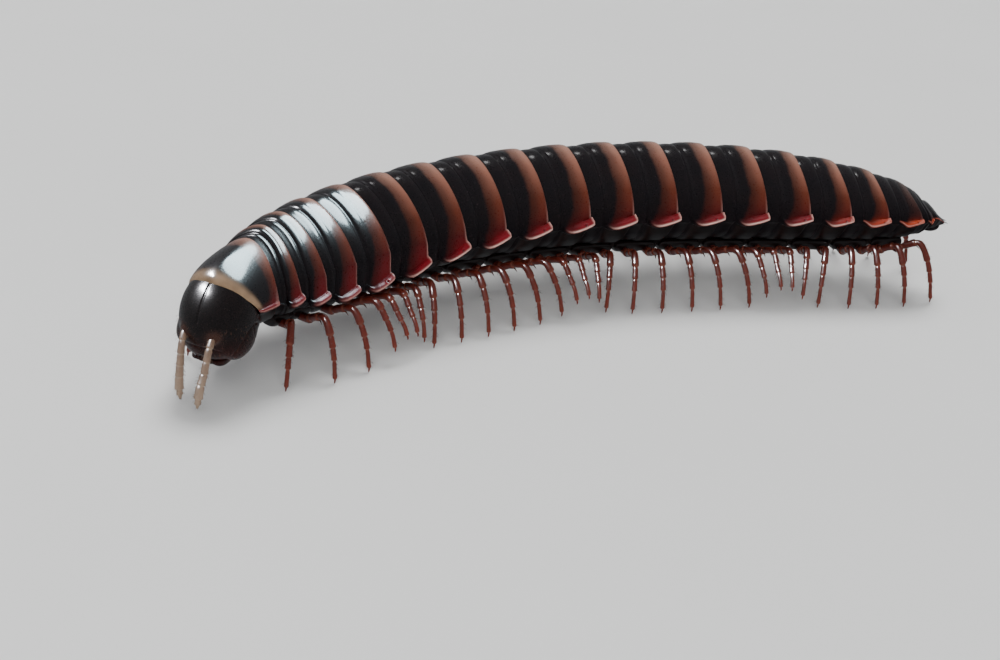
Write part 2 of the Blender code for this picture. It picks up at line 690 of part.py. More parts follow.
def antenna_path(side):
    """An antenna's line in world space, from its socket forward and then down, stopping over the floor.

    Its direction is given by a pitch below level and a yaw outward, each running between a few
    values along the length.
    """
    frame = head_frame()
    place, axis = sided(SOCKET_PLACE, side), sided(SOCKET_AXIS, side)
    points = [frame @ (place + axis * (SOCKET_RIM + GAP))]
    steps = len(ANTENNA_RADII) - 1
    for k in range(steps):
        share = (k + 0.5) / steps
        pitch = math.radians(np.interp(share, *zip(*ANTENNA_PITCH[side])))
        yaw = math.radians(np.interp(share, *zip(*ANTENNA_YAW[side])))
        flat = math.cos(pitch)
        way = sided((flat * math.cos(yaw), flat * math.sin(yaw), -math.sin(pitch)), side)
        points.append(points[-1] + frame.to_3x3() @ way * (ANTENNA_LENGTH / steps))
    return points


def build_antennae(parent):
    """Two antennae, each a tube of slightly swollen joints with its root facing the socket."""
    for side, label in ((-1, "left"), (1, "right")):
        path = antenna_path(side)
        mesh = tube(path, [r * MM for r in ANTENNA_RADII])
        add_object(f"antenna_{label}", mesh, Matrix.Translation(path[0]), "antennae", parent)


def build_telson(parent):
    """The tail piece: a cone drawn out to the pointed epiproct, with two rounded anal valves under it."""
    start = JOINTS[-1] + GAP / 2
    tip_height = KEEL_LINE_HEIGHT - TELSON_DROP
    outlines = [section(start, (0, TAIL_LEAN), WAIST_SIZE, 0, 0.0, top_tilt(RING_COUNT))]
    base = outlines[0]
    middle = np.array(on_body(start, 0.0, KEEL_LINE_HEIGHT))
    for along, size, lower in TELSON_OUTLINES:
        s = start + along * TELSON_LENGTH
        centre = np.array(on_body(s, 0.0, tip_height))
        ahead = np.array(on_body(s, 0.0, 0.0)) - np.array(on_body(start, 0.0, 0.0))
        outline = (base - middle) * size + middle + ahead
        outline[:, 2] += (centre[2] - middle[2]) * lower
        outlines.append(outline)
    tip = on_body(start + TELSON_LENGTH, 0.0, tip_height)
    mesh = loft(outlines, tip)
    frame = frame_at(start)
    valves = [ellipsoid(sided(VALVE_PLACE, side), VALVE_HALF_SIZE, frame, 12, 8) for side in (-1, 1)]
    front = block((VALVE_FRONT - 2 * MM, 0, 0), (2 * MM, 4 * MM, 4 * MM), frame)
    add_object("telson", fuse(mesh, valves, [front]), frame, "shell", parent)


def clear_scene():
    """Removes every object, so that a second run starts clean."""
    for held in list(bpy.data.objects):
        bpy.data.objects.remove(held)


def main():
    clear_scene()
    collection = bpy.data.collections.new("millipede")
    bpy.context.scene.collection.children.link(collection)
    root = bpy.data.objects.new("millipede_root", None)
    collection.objects.link(root)
    parent = {"collection": collection, "root": root}
    build_head(parent)
    build_mouth_plate(parent)
    build_antennae(parent)
    build_collum(parent)
    build_rings(parent)
    build_telson(parent)
    build_legs(parent)
    bpy.context.view_layer.update()


main()
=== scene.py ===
"""The finish of a large banded flat-backed millipede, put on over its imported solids.

Metres, +Z up. The floor is z = 0, the head is towards -X and the animal's left side faces -Y. Each
surface is a grid of points worked out from two parameters, in the body frame of the solids.
"""

import json
import math

import bpy
import numpy as np
from mathutils import Matrix, Vector

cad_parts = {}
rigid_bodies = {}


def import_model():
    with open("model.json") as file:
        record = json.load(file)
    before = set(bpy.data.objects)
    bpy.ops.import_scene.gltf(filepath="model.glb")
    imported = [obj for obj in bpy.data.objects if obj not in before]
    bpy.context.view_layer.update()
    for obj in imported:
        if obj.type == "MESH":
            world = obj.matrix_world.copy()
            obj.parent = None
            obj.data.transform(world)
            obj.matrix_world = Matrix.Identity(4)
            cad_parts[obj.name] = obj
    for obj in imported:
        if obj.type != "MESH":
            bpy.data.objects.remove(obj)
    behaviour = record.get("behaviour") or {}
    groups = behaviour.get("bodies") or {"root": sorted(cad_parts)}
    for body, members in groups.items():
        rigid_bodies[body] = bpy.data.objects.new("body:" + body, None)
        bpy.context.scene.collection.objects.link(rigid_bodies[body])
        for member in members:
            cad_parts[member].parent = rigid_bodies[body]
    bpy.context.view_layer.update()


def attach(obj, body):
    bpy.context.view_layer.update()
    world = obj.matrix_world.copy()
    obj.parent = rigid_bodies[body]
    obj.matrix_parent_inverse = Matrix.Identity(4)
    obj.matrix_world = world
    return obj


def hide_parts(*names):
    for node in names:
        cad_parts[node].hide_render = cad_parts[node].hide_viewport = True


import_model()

MM = 0.001
GAP = 0.3 * MM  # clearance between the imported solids
LEFT, RIGHT = -1, 1
SIDES = ((LEFT, "left"), (RIGHT, "right"))

# Body line: heading of the tailward direction in plan, in degrees from +X
HEADING_NECK, HEADING_MID, HEADING_TAIL = 37.4, 0.6, -23.6
NECK_PLACE = (-28.15 * MM, -6.1 * MM)
KEEL_LINE_HEIGHT = 6.1 * MM
NECK_DIP, NECK_DIP_RINGS = 0.2 * MM, 6

# Rings: the collum is ring 1, the last legless ring is 19, the telson closes the tail
RING_COUNT = 19
COLLUM_LENGTH = 4.2 * MM
MID_PITCH = 3.67 * MM
FRONT_SHORTENING, FRONT_SPREAD = 0.53, 2.8
REAR_SHORTENING, REAR_START = 0.24, 14
LAST_RING_LENGTH = 1.45 * MM
TELSON_LENGTH = 1.7 * MM
TELSON_DROP = 0.8 * MM
PORE_RINGS = (5, 7, 9, 10, 12, 13, 15, 16, 17, 18, 19)

# Cross-section of a mid-body ring, heights measured from the keel line
DOME_HALF_WIDTH, DOME_HEIGHT, DOME_POWER = 3.92 * MM, 4.37 * MM, 1.17
DOME_ANGLES = (0, 9, 18, 27, 36, 45, 54, 62, 70, 77, 83)
BELLY_DEPTH = 2.4 * MM
STERNUM_HALF_WIDTH = 1.9 * MM
NECK_NARROWING, NECK_NARROWING_RINGS = 0.53, 2.8
NECK_LOWERING, NECK_LOWERING_RINGS = 0.37, 2.6
NECK_SHALLOWING, NECK_SHALLOWING_RINGS = 0.20, 2.0
WIDTH_FALL_START, WIDTH_FALL_RINGS = 12, 8.6
HEIGHT_FALL_START, HEIGHT_FALL_RINGS = 9, 10.5
DEPTH_FALL_START, DEPTH_FALL_RINGS = 13, 7.6
KEEL_REACH = 0.55 * MM
KEEL_MARKS = (  # shares of the keel's reach, mm over its middle: furrow, rim from above to below, underside
    (0.14, 0.31),
    (0.50, 0.23),
    (0.84, 0.14),
    (1.00, -0.03),
    (0.86, -0.20),
    (0.42, -0.31),
    (0.02, -0.40),
)
STERNUM_MARKS = (0.8, 0.4, 0.0)
FLANK = ((0.93, 0.22), (0.87, 0.40), (0.80, 0.60), (0.68, 0.82), (0.56, 0.95))
BACK_NOTCH = 0.15 * MM
KEEL_RISE = 0.3 * MM
FRONT_KEEL_DROP, FRONT_KEEL_DROP_RING, FRONT_KEEL_DROP_SPREAD = 1.5 * MM, 4.2, 2.6
FRONT_LEAN, FRONT_LEAN_SPREAD = 1.7 * MM, 2.5
REAR_LEAN, REAR_LEAN_START = 0.78 * MM, 8
FRONT_TILT, FRONT_TILT_SPREAD = 0.48, 5.4
FRONT_PART_LENGTH, FRONT_PART_SHARE = 0.95 * MM, 0.30  # of a short ring it takes no more than this share
FULL_STATION_LENGTH = 2.6 * MM  # a shorter ring has its stations drawn together
COLLUM_LOBE_SETBACK = 0.35 * MM
HOOD_TILT = math.radians(43.0)
TAIL_LEAN = 0.4 * MM

# One ring from front to rear. The place runs from 0 to 1 over the narrow front part and to 2 over the plate
RING_STATIONS = (  # place, mm on from it, size of the back, depth of the belly, keel, rise of its rim
    (0.0, -0.74, 0.74, 0.72, 0.0, 0.0),
    (0.0, -0.68, 0.880, 0.90, 0.0, 0.0),
    (0.0, -0.30, 0.925, 0.93, 0.0, 0.0),
    (0.0, 0.05, 0.948, 0.95, 0.0, 0.0),
    (0.5, 0.00, 0.963, 0.96, 0.0, 0.0),
    (0.85, 0.00, 0.961, 0.96, 0.0, 0.0),
    (1.0, -0.02, 0.946, 0.95, 0.0, -0.3),
    (1.0, 0.10, 0.952, 0.965, 0.10, -0.8),
    (1.0, 0.28, 0.974, 0.99, 0.42, -1.0),
    (1.14, 0.20, 0.988, 1.0, 0.74, -0.9),
    (1.34, 0.06, 0.998, 1.0, 0.95, -0.5),
    (1.6, 0.00, 1.003, 1.0, 1.0, 0.0),
    (1.84, 0.00, 1.002, 1.0, 1.02, 0.6),
    (2.0, -0.10, 0.998, 1.0, 1.02, 1.0),
    (2.0, -0.02, 0.990, 0.99, 0.98, 1.05),
    (2.0, 0.00, 0.978, 0.975, 0.85, 1.0),
    (2.0, -0.05, 0.966, 0.955, 0.40, 0.8),
    (2.0, -0.25, 0.958, 0.94, 0.0, 0.3),
    (2.0, -0.70, 0.950, 0.93, 0.0, 0.0),
    (2.0, -0.74, 0.74, 0.72, 0.0, 0.0),
)
FRONT_STATIONS = 4  # the first of them lie in the ring before and keep their depth on short rings
WALL_STATIONS, WALL_PLACE = 4.5, 2.5  # so many last stations turn inwards, and the colour place of that dark wall
COLLUM_STATIONS = (  # share of its length, mm on from it, size of the back, depth of the belly, keel, its height
    (0.0, 1.30, 0.70, 0.70, 0.0, 0.62),
    (0.0, 1.20, 0.870, 0.86, 0.0, 0.71),
    (0.0, 0.72, 0.915, 0.90, 0.0, 0.69),
    (0.0, 0.50, 0.930, 0.92, 0.0, 0.665),
    (0.0, 0.44, 0.945, 0.94, 0.05, 0.66),
    (0.0, 0.48, 0.962, 0.96, 0.15, 0.68),
    (0.03, 0.46, 0.975, 0.98, 0.2, 0.725),
    (0.12, 0.34, 0.985, 1.0, 0.28, 0.80),
    (0.26, 0.22, 0.992, 1.0, 0.35, 0.885),
    (0.46, 0.10, 0.999, 1.0, 0.4, 0.955),
    (0.66, 0.00, 1.003, 1.0, 0.45, 0.985),
    (0.86, 0.00, 1.0, 1.0, 0.45, 1.0),
    (1.0, -0.10, 0.996, 1.0, 0.42, 1.0),
    (1.0, -0.02, 0.988, 0.99, 0.40, 1.0),
    (1.0, 0.00, 0.976, 0.975, 0.3, 1.0),
    (1.0, -0.05, 0.964, 0.955, 0.1, 1.0),
    (1.0, -0.25, 0.956, 0.94, 0.0, 1.0),
    (1.0, -0.76, 0.948, 0.93, 0.0, 1.0),
    (1.0, -0.80, 0.74, 0.72, 0.0, 1.0),
)
COLLUM_SHARE_PER_MM = 0.24
COLLUM_BAND = ((0.0, 1.0), (0.60, 1.15), (0.76, 1.42), (0.86, 1.62), (1.0, 2.0))  # share of its length, colour place
COLLUM_BAND_WIDENING, COLLUM_PALENESS = 0.45, 0.35
HEM_START, HEM_FADE, HEM_SIDE_FADE = 3.6, (0.20, 0.33), (0.55, 0.9)  # station, shares of length and of the way round
TAIL_RINGS, TAIL_DIMMING = (15.0, 18.0), 0.65  # over these rings the keels turn from red to orange
RIM_SHADE_RINGS, FRONT_SHADED_RIM_SHARE = (3.0, 8.0), 0.35  # over these rings the painted shade on the rims of the keels gives way and the rims turn pale
RIM_START, REAR_HIGHLIGHT_START, REAR_EDGE_HIGHLIGHT = (1.10, 1.45), (1.90, 1.97), 0.55  # colour places, and the strength of the painted highlight up the rear edge
SKIN_SIZE, SKIN_STATIONS, SKIN_OVERLAP = 0.90, 48, 0.8 * MM
SKIN_STRIP_WIDTH, SKIN_STRIP_DEPTH, SKIN_STRIP_POWER = 0.9, 0.30, 0.7
TELSON_ROWS = (  # mm from the start, size, share of the drop
    (-0.60, 0.70, 0.0), (-0.55, 0.84, 0.0), (-0.2, 0.90, 0.0), (0.10, 0.93, 0.02), (0.30, 0.86, 0.08),
    (0.56, 0.76, 0.25), (0.80, 0.60, 0.42), (1.02, 0.46, 0.6), (1.25, 0.34, 0.78), (1.45, 0.25, 0.9),
    (1.60, 0.17, 0.98), (1.68, 0.06, 1.0),
)
VALVE_PLACE, VALVE_HALF_SIZE = (0.46, 0.40, -1.02), (0.80, 0.42, 0.52)  # mm behind, beside and over the start
TAIL_SCALE_PLACE, TAIL_SCALE_HALF_SIZE = (0.30, 0, -1.42), (0.55, 0.36, 0.16)
TAIL_HAIR_LENGTH = 0.28 * MM
ROWS_PER_STATION = 4
ROWS_AT_PORE = 16
POINTS_PER_MARK = (3, 7, 4)  # on the back, round the keel, and on flank and belly
FURROW_PLACE, FURROW_WIDTH, FURROW_DEPTH = 1.42, 0.05, 0.022 * MM  # the faint cross furrow of a plate
FURROW_FADE = (6, 10)  # marks between which it runs out
PORE_STATION, PORE_MARKS_IN, PORE_RADIUS, PORE_DEPTH = 11.4, 0.8, 0.10 * MM, 0.07 * MM

# Legs
FIRST_LEG_RING, FIRST_DOUBLE_RING, LAST_LEG_RING = 2, 5, 18
SINGLE_LEG_PLACE, DOUBLE_LEG_PLACES = (0.52,), (0.27, 0.76)  # shares of the ring's length
LEG_PLATE_THICKNESS = 0.85 * MM
LEG_PLATE_INNER, LEG_PLATE_SPREAD = 0.06 * MM, 0.02 * MM  # its inner edge, and how far it reaches past the solid
LEG_PLATE_SINK, LEG_PLATE_ADDED_DEPTH, LEG_PLATE_POWER = 0.10 * MM, 0.30 * MM, 0.8
WAIST_DEPTH, WAIST_WIDTH = 0.10 * MM, 0.12
LEG_ROOT_LATERAL, HIP_LENGTH, LEG_REACH = 0.9 * MM, 0.45 * MM, 3.9 * MM
LEG_KNOTS = (  # share of the way from hip to foot, share of the hip's height
    (0.0, 1.0),
    (0.22, 1.14),
    (0.50, 1.24),
    (0.74, 0.92),
    (0.90, 0.52),
    (0.98, 0.18),
    (1.0, 0.10),
    (1.0, 0.0),
)
LEG_SIZE_RINGS, LEG_SIZES = (1, 5, 14, 18), (0.80, 1.0, 1.0, 0.78)
SWING_LIFT = 1.6 * MM
WAVE_LEGS, WAVE_PHASE, WAVE_STANCE, WAVE_STRIDE = 9.45, 0.285, 0.52, 1.85 * MM
SINGLE_LEG_STRIDE = 0.5
FIRST_LEG_LEAN, FIRST_LEAN_LEGS = -2.75 * MM, 1.8
LAST_LEG_LEAN, LAST_LEAN_LEGS = 1.9 * MM, 2.6
LEG_JOINTS = (  # share of the leg's length where a joint ends, radius in mm at its thickest
    (0.19, 0.30),
    (0.33, 0.27),
    (0.57, 0.25),
    (0.68, 0.21),
    (0.79, 0.185),
    (0.955, 0.145),
    (1.0, 0.065),
)
CURVE_POINTS, ROUNDS_PER_JOINT = 160, 14
JOINT_NECK, JOINT_WAIST, JOINT_BULGE, JOINT_ROUNDING = 0.80, 0.05, 0.05, 0.26  # shares of a limb joint's radius
HAIR_BEND, HAIR_MIDDLE, HAIR_THINNING = 0.10, 0.55, 0.6  # shares of its length, and of its radius at the middle
LEG_HAIRS, LEG_HAIR_RADIUS, LEG_HAIR_LENGTHS = 46, 0.012 * MM, (0.16, 0.16)  # mm at the shortest, mm to add at random
LEG_HAIR_SPAN, LEG_HAIR_CROWDING = (0.24, 0.70), 0.75  # where they start, over what share of the leg they stand
SPUR_PLACE, SPUR_DROP, SPUR_SLOPE, SPUR_LENGTH, SPUR_RADIUS = 0.335, 0.22 * MM, 0.55, 0.42 * MM, 0.07 * MM

# Head. Its frame: X forward, Y to the left, Z up
HEAD_DROP = 0.75 * MM
SKULL_HALF_SIZE, SKULL_TILT = (2.78, 2.32, 3.02), math.radians(22.0)
FACE_PLACE, FACE_HALF_SIZE = (0.85, 0.0, -1.15), (1.45, 1.7, 1.4)
CHEEK_PLACE, CHEEK_HALF_SIZE = (0.30, 1.50, -1.10), (1.50, 0.82, 1.30)
SOCKET_PLACE, SOCKET_AXIS = (2.08, 0.78, -0.4), (0.86, 0.30, -0.40)
SOCKET_RIM = 0.15 * MM
HEAD_FLOOR = 2.35
FACE_SOFTNESS, CHEEK_SOFTNESS, HEAD_FLOOR_SOFTNESS = 0.12, 0.07, 0.05
SUTURE_WIDTH, SUTURE_DEPTH = 0.055, 0.07  # down the middle of the forehead
GROOVE_HEIGHT, GROOVE_BOW, GROOVE_WIDTH, GROOVE_DEPTH = -1.28, 0.12, 0.10, 0.045  # across the face, over the lip
LIP_DEPTHS, NOTCH_WIDTH, NOTCH_DEPTH = (1.85, 2.2), 0.52, 0.16
TOOTH_SPACING, TOOTH_WIDTH, TOOTH_HEIGHT = 0.26, 0.07, 0.10
SOCKET_RING, SOCKET_PIT = (0.47, 0.11, 0.13), (0.30, 0.20)  # radius, width and height; radius and depth
JAW_PLACE, JAW_TURN, JAW_SIDES = (0.30, -1.15), (0.82, 0.57), (1.15, 1.35)  # place in X and Z, cosine and sine
JAW_HALF_LENGTH, JAW_HALF_WIDTH, JAW_NARROWING, JAW_POWER = 1.25, 0.76, 0.12, 2.4
JAW_DOME, JAW_GROOVE, HINGE_PLACE, HINGE_DEPTH = 0.08, 0.04, -0.58, 0.05
HEAD_HAIRS, HEAD_HAIR_RADIUS, HEAD_HAIR_LENGTHS = 110, 0.008 * MM, (0.18, 0.20)
HEAD_ROWS, HEAD_COLUMNS = 190, 300
MOUTH_GAP, MOUTH_POWER = 0.06 * MM, 2.6
MOUTH_PLATES = (  # place below the head's floor and half size in mm: the middle plate, then those of one side
    ((0.46, 0.0, -0.26), (0.62, 0.40, 0.30)),
    ((0.50, 0.70, -0.22), (0.82, 0.44, 0.30)),
    ((1.02, 0.30, -0.20), (0.36, 0.26, 0.24)),
    ((1.34, 0.62, -0.16), (0.12, 0.10, 0.12)),
)
ANTENNA_LENGTH, ANTENNA_STEPS = 4.2 * MM, 10
ANTENNA_PITCH = {  # for each side: share of the length, degrees below level
    LEFT: ((0.0, 42.0), (0.2, 72.0), (0.45, 80.0), (0.6, 58.0), (0.8, 78.0), (1.0, 88.0)),
    RIGHT: ((0.0, 48.0), (0.2, 78.0), (0.6, 88.0), (1.0, 72.0)),
}
ANTENNA_YAW = {  # for each side: share of the length, degrees outward
    LEFT: ((0.0, 12.0), (0.5, 0.0), (1.0, 20.0)),
    RIGHT: ((0.0, 0.0), (0.3, -35.0), (1.0, -80.0)),
}
ANTENNA_HAIRS, ANTENNA_HAIR_RADIUS, ANTENNA_HAIR_LENGTHS = 150, 0.010 * MM, (0.13, 0.12)
ANTENNA_HAIR_SPAN = (0.10, 0.86)
TIP_CONE_LENGTH, TIP_CONE_RADIUS, TIP_CONE_SPACING = 0.16 * MM, 0.035 * MM, 0.06 * MM
ANTENNA_JOINTS = (  # share of the length where a joint ends, radius in mm
    (0.06, 0.21),
    (0.24, 0.22),
    (0.41, 0.225),
    (0.56, 0.235),
    (0.71, 0.25),
    (0.88, 0.275),
    (0.95, 0.20),
    (1.0, 0.13),
)

# Colours, linear
BAND_COLOURS_AND_SHEEN = (  # half the share of the way round, linear colour: tan on the back, partly the band's own colour and partly a painted sheen, deep red at the keels
    (0.0, (0.40, 0.21, 0.155)),
    (0.11, (0.28, 0.115, 0.078)),
    (0.23, (0.12, 0.026, 0.012)),
    (0.35, (0.080, 0.004, 0.004)),
    (0.44, (0.16, 0.004, 0.009)),
    (0.51, (0.20, 0.004, 0.011)),
    (0.56, (0.04, 0.003, 0.004)),
    (0.62, (0.006, 0.003, 0.003)),
)
# Pale pink of the keel rims, brightened into a painted highlight; it also paints the highlight up the rear edges.
PALE_RIM_AND_HIGHLIGHT_COLOUR = (0.80, 0.50, 0.43, 1)
HEM_COLOUR = (0.34, 0.22, 0.13, 1)
TAIL_COLOUR = (0.36, 0.035, 0.006, 1)
SHELL_VALUES = ("plate", "round", "rim", "hem", "pore", "tail")
DARK_COLOURS = (0.0025, 0.0022, 0.004, 1), (0.008, 0.0035, 0.004, 1)
# BAND_EDGE_COLOUR dims the front of each band, partly its own gradient and partly painted so that the rear half reads
# as a painted highlight.
BAND_EDGE_COLOUR, PORE_COLOUR, WALL_COLOUR = (0.012, 0.003, 0.002, 1), (0.01, 0.004, 0.003, 1), (0.01, 0.006, 0.005, 1)
GRAIN_COLOUR, SKIN_COLOUR = (0.02, 0.008, 0.006, 1), (0.010, 0.006, 0.006, 1)
FLOOR_COLOURS = (0.83, 0.83, 0.82, 1), (0.87, 0.87, 0.86, 1)
GRAIN_SCALES = (9000.0, 900.0, 8000.0)  # of the fine noise, the wide noise and the pits
COAT_ROUGHNESS = 0.12
SIMPLE_FINISHES = (  # name, colours at 0 and 1 of a value, roughness, coat, specular, the value, tints by other values
    ("dark_head", (0.003, 0.002, 0.0025, 1), (0.026, 0.0040, 0.0032, 1), (0.22, 0.34), 0.4, 0.2, "low",
     ("rim", (0.09, 0.035, 0.022, 1), 0.5), ("hair", (0.16, 0.08, 0.05, 1), 0.8)),
    ("leg_cuticle", (0.08, 0.010, 0.007, 1), (0.19, 0.030, 0.017, 1), (0.24, 0.38), 0.5, 0.25, "limb",
     ("edge", (0.26, 0.09, 0.055, 1), 0.35), ("belly", (0.008, 0.004, 0.004, 1), 1.0)),
    ("feeler_cuticle", (0.22, 0.13, 0.085, 1), (0.40, 0.29, 0.21, 1), (0.3, 0.45), 0.1, 0.25, "limb",
     ("edge", (0.50, 0.40, 0.30, 1), 0.4)),
    ("joint_skin", SKIN_COLOUR, SKIN_COLOUR, (0.5, 0.7), 0.0, 0.25, "limb"),
)

# Camera: the photo's viewing direction, fitted to the marks of the rings
CAMERA_TARGET = np.array([0, 0, 5 * MM])
CAMERA_DISTANCE = 150 * MM
CAMERA_AZIMUTH, CAMERA_ELEVATION, CAMERA_ROLL = (math.radians(a) for a in (34.496, 22.007, 9.342))
CAMERA_LENS, SENSOR_WIDTH = 78.43, 36.0
CAMERA_SHIFT = (-0.0691, -0.0924)

# Floor and backdrop, in metres
FLOOR_RADIUS, BACKDROP_BEND, BACKDROP_WALL = 0.9, 0.35, 0.1
FLOOR_ROWS, FLOOR_SIDES = 25, 96

# Studio lights, in metres
SURROUND_COLOUR, SURROUND_POWER = (0.86, 0.89, 0.92, 1), 0.26
KEY_WAY, OVAL_COLOUR, OVAL_LENGTH_WAY = (-0.265, -0.386, -0.885), (0.95, 0.95, 1.0), (0.1, 0.95, -0.25)
SUNS = (  # name, direction, power, spread in degrees, whether it shows in the gloss
    ("key_sun", KEY_WAY, 2.55, 30.0, False),
    ("fill_sun", (0.45, 0.70, -0.75), 1.3, 40.0, False),
    ("gloss_sun", KEY_WAY, 0.12, 7.0, True),
)
GLOSS_LIGHTS = (  # name, place, size, power, colour, target, way of its length, how the pieces that it lights start
    ("gloss_strip", (0.13, 0.01, 0.26), (0.34, 0.20), 8.0, (0.72, 0.92, 1.0), (-0.022, -0.004, 0.009),
     (0.44, -0.90, -0.07), ("collum_plate", *(f"ring_plate_{ring:02d}" for ring in range(2, 6)))),
    ("head_gloss", (-0.214, 0.042, 0.236), (0.23, 0.075), 14.0, OVAL_COLOUR, (-0.03, -0.006, 0.006), OVAL_LENGTH_WAY,
     ("collum_plate", "head_capsule", "mouth_plates", "feeler", "leg_pair")),
    ("back_gloss", (-0.208, 0.114, 0.214), (0.16, 0.09), 3.5, OVAL_COLOUR, (0.0, 0.0, 0.006), OVAL_LENGTH_WAY, ()),
)


def ring_length(ring):
    """Length of a ring along the body line."""
    if ring == 1:
        return COLLUM_LENGTH
    if ring == RING_COUNT:
        return LAST_RING_LENGTH
    front = FRONT_SHORTENING * math.exp(-(((ring - 2) / FRONT_SPREAD) ** 2))
    rear = REAR_SHORTENING * (max(0.0, ring - REAR_START) / (LAST_LEG_RING - REAR_START)) ** 1.5
    return MID_PITCH * (1 - front - rear)


JOINTS = np.concatenate([[0.0], np.cumsum([ring_length(r) for r in range(1, RING_COUNT + 1)])])
BODY_LENGTH = JOINTS[-1] + TELSON_LENGTH


def heading(s):
    """Heading in radians at arc length s: a quadratic through the neck, middle and tail values."""
    u = np.asarray(s) / BODY_LENGTH
    neck, middle, tail = (1 - u) * (1 - 2 * u), 4 * u * (1 - u), u * (2 * u - 1)
    return np.radians(HEADING_NECK * neck + HEADING_MID * middle + HEADING_TAIL * tail)


LINE_S = np.linspace(-6 * MM, BODY_LENGTH + 4 * MM, 1401)


def line_points():
    """The body line in plan: the heading integrated by the trapezoid rule, with s = 0 at the neck."""
    direction = np.stack([np.cos(heading(LINE_S)), np.sin(heading(LINE_S))], 1)
    steps = (direction[1:] + direction[:-1]) / 2 * (LINE_S[1] - LINE_S[0])
    path = np.concatenate([[[0.0, 0.0]], np.cumsum(steps, 0)])
    at_neck = [np.interp(0.0, LINE_S, path[:, k]) for k in (0, 1)]
    return path - at_neck + np.array(NECK_PLACE)


LINE_XY = line_points()


def on_body(s, lateral, height):
    """World points at arc length s, a lateral offset (positive to the animal's right) and a height."""
    s, lateral, height = np.broadcast_arrays(s, lateral, height)
    turn = heading(s)
    x = np.interp(s, LINE_S, LINE_XY[:, 0]) - np.sin(turn) * lateral
    y = np.interp(s, LINE_S, LINE_XY[:, 1]) + np.cos(turn) * lateral
    return np.stack([x, y, height + 0 * x], -1)


def ring_place(s):
    """The ring number as a running value: 0 at the neck, 1 at the rear edge of the collum, and so on."""
    return np.interp(s, np.append(JOINTS, BODY_LENGTH), np.arange(RING_COUNT + 2))


def width_share(place):
    """Body width against mid-body."""
    front = NECK_NARROWING * np.exp(-np.maximum(place, 1.0) / NECK_NARROWING_RINGS)
    return 1 - front - (np.clip(place - WIDTH_FALL_START, 0, None) / WIDTH_FALL_RINGS) ** 3.2


def height_share(place):
    """Height of the dome against mid-body."""
    front = NECK_LOWERING * np.exp(-place / NECK_LOWERING_RINGS)
    return 1 - front - (np.clip(place - HEIGHT_FALL_START, 0, None) / HEIGHT_FALL_RINGS) ** 3.1


def depth_share(place):
    """Depth of the belly under the keel line against mid-body."""
    front = NECK_SHALLOWING * np.exp(-place / NECK_SHALLOWING_RINGS)
    return 1 - front - 0.9 * (np.clip(place - DEPTH_FALL_START, 0, None) / DEPTH_FALL_RINGS) ** 3


def keel_drop(place):
    """How far the keels hang below the keel line."""
    return FRONT_KEEL_DROP * np.exp(-(((place - FRONT_KEEL_DROP_RING) / FRONT_KEEL_DROP_SPREAD) ** 2))


def line_height(place):
    """Height of the keel line over the floor."""
    return KEEL_LINE_HEIGHT - NECK_DIP * np.clip(1 - place / NECK_DIP_RINGS, 0, None) ** 1.3


def keel_lean(joint):
    """How far a joint's edge at the keels stands ahead of (-) or behind (+) its edge on the back."""
    if joint == 0:
        return COLLUM_LOBE_SETBACK
    if joint == RING_COUNT:
        return TAIL_LEAN
    front = FRONT_LEAN * math.exp(-(((joint - 1) / FRONT_LEAN_SPREAD) ** 2))
    rear = REAR_LEAN * (max(0, joint - REAR_LEAN_START) / (LAST_LEG_RING - REAR_LEAN_START)) ** 1.2
    return rear - front


def top_tilt(joint):
    """Slope by which the back above the keel line leans forward at a joint."""
    return FRONT_TILT * math.exp(-(((joint - 1) / FRONT_TILT_SPREAD) ** 2))


def belly_height(s):
    """Height of the flat underside over the floor."""
    return line_height(ring_place(s)) - BELLY_DEPTH * depth_share(ring_place(s))


def head_height():
    """Height of the head's centre over the floor."""
    return float(line_height(0.0)) - HEAD_DROP


def rise_between(value, low, high):
    """A smooth step from 0 at low to 1 at high."""
    share = np.clip((value - low) / (high - low), 0, 1)
    return share * share * (3 - 2 * share)


def bell(value, middle, width):
    """A bell curve of height 1."""
    return np.exp(-(((value - middle) / width) ** 2))


def unit(vectors):
    """Vectors brought to length 1."""
    return vectors / np.linalg.norm(vectors, axis=-1, keepdims=True)


def full_turn(count):
    """So many angles round a circle."""
    return np.linspace(0, 2 * math.pi, count, endpoint=False)


def squared_off(value, power):
    """A sine or cosine drawn towards 1 and -1, which turns a circle into a superellipse."""
    return np.sign(value) * np.abs(value) ** power


def through_marks(marks, at, before=None, after=None):
    """A Catmull-Rom curve through the marks of the first axis, read at fractional mark numbers.

    Each point is a cubic of its four nearest marks. Past the ends stand the marks before and
    after, or else the end marks mirrored in each other.
    """
    before = 2 * marks[:1] - marks[1:2] if before is None else before
    after = 2 * marks[-1:] - marks[-2:-1] if after is None else after
    padded = np.concatenate([before, marks, after])
    first = np.clip(np.floor(at).astype(int), 0, len(marks) - 2)
    f = (at - first).reshape((-1,) + (1,) * (marks.ndim - 1))
    a, b, c, d = (padded[first + k] for k in range(4))
    return b + 0.5 * f * (c - a + f * (2 * a - 5 * b + 4 * c - d + f * (3 * (b - c) + d - a)))


def grid_normals(points):
    """Unit normals of a grid of points whose columns close round, by the cross product of its steps."""
    along = np.gradient(points, axis=0)
    round_ = np.roll(points, -1, 1) - np.roll(points, 1, 1)
    normal = np.cross(along, round_)
    return normal / np.maximum(np.linalg.norm(normal, axis=-1, keepdims=True), 1e-12)


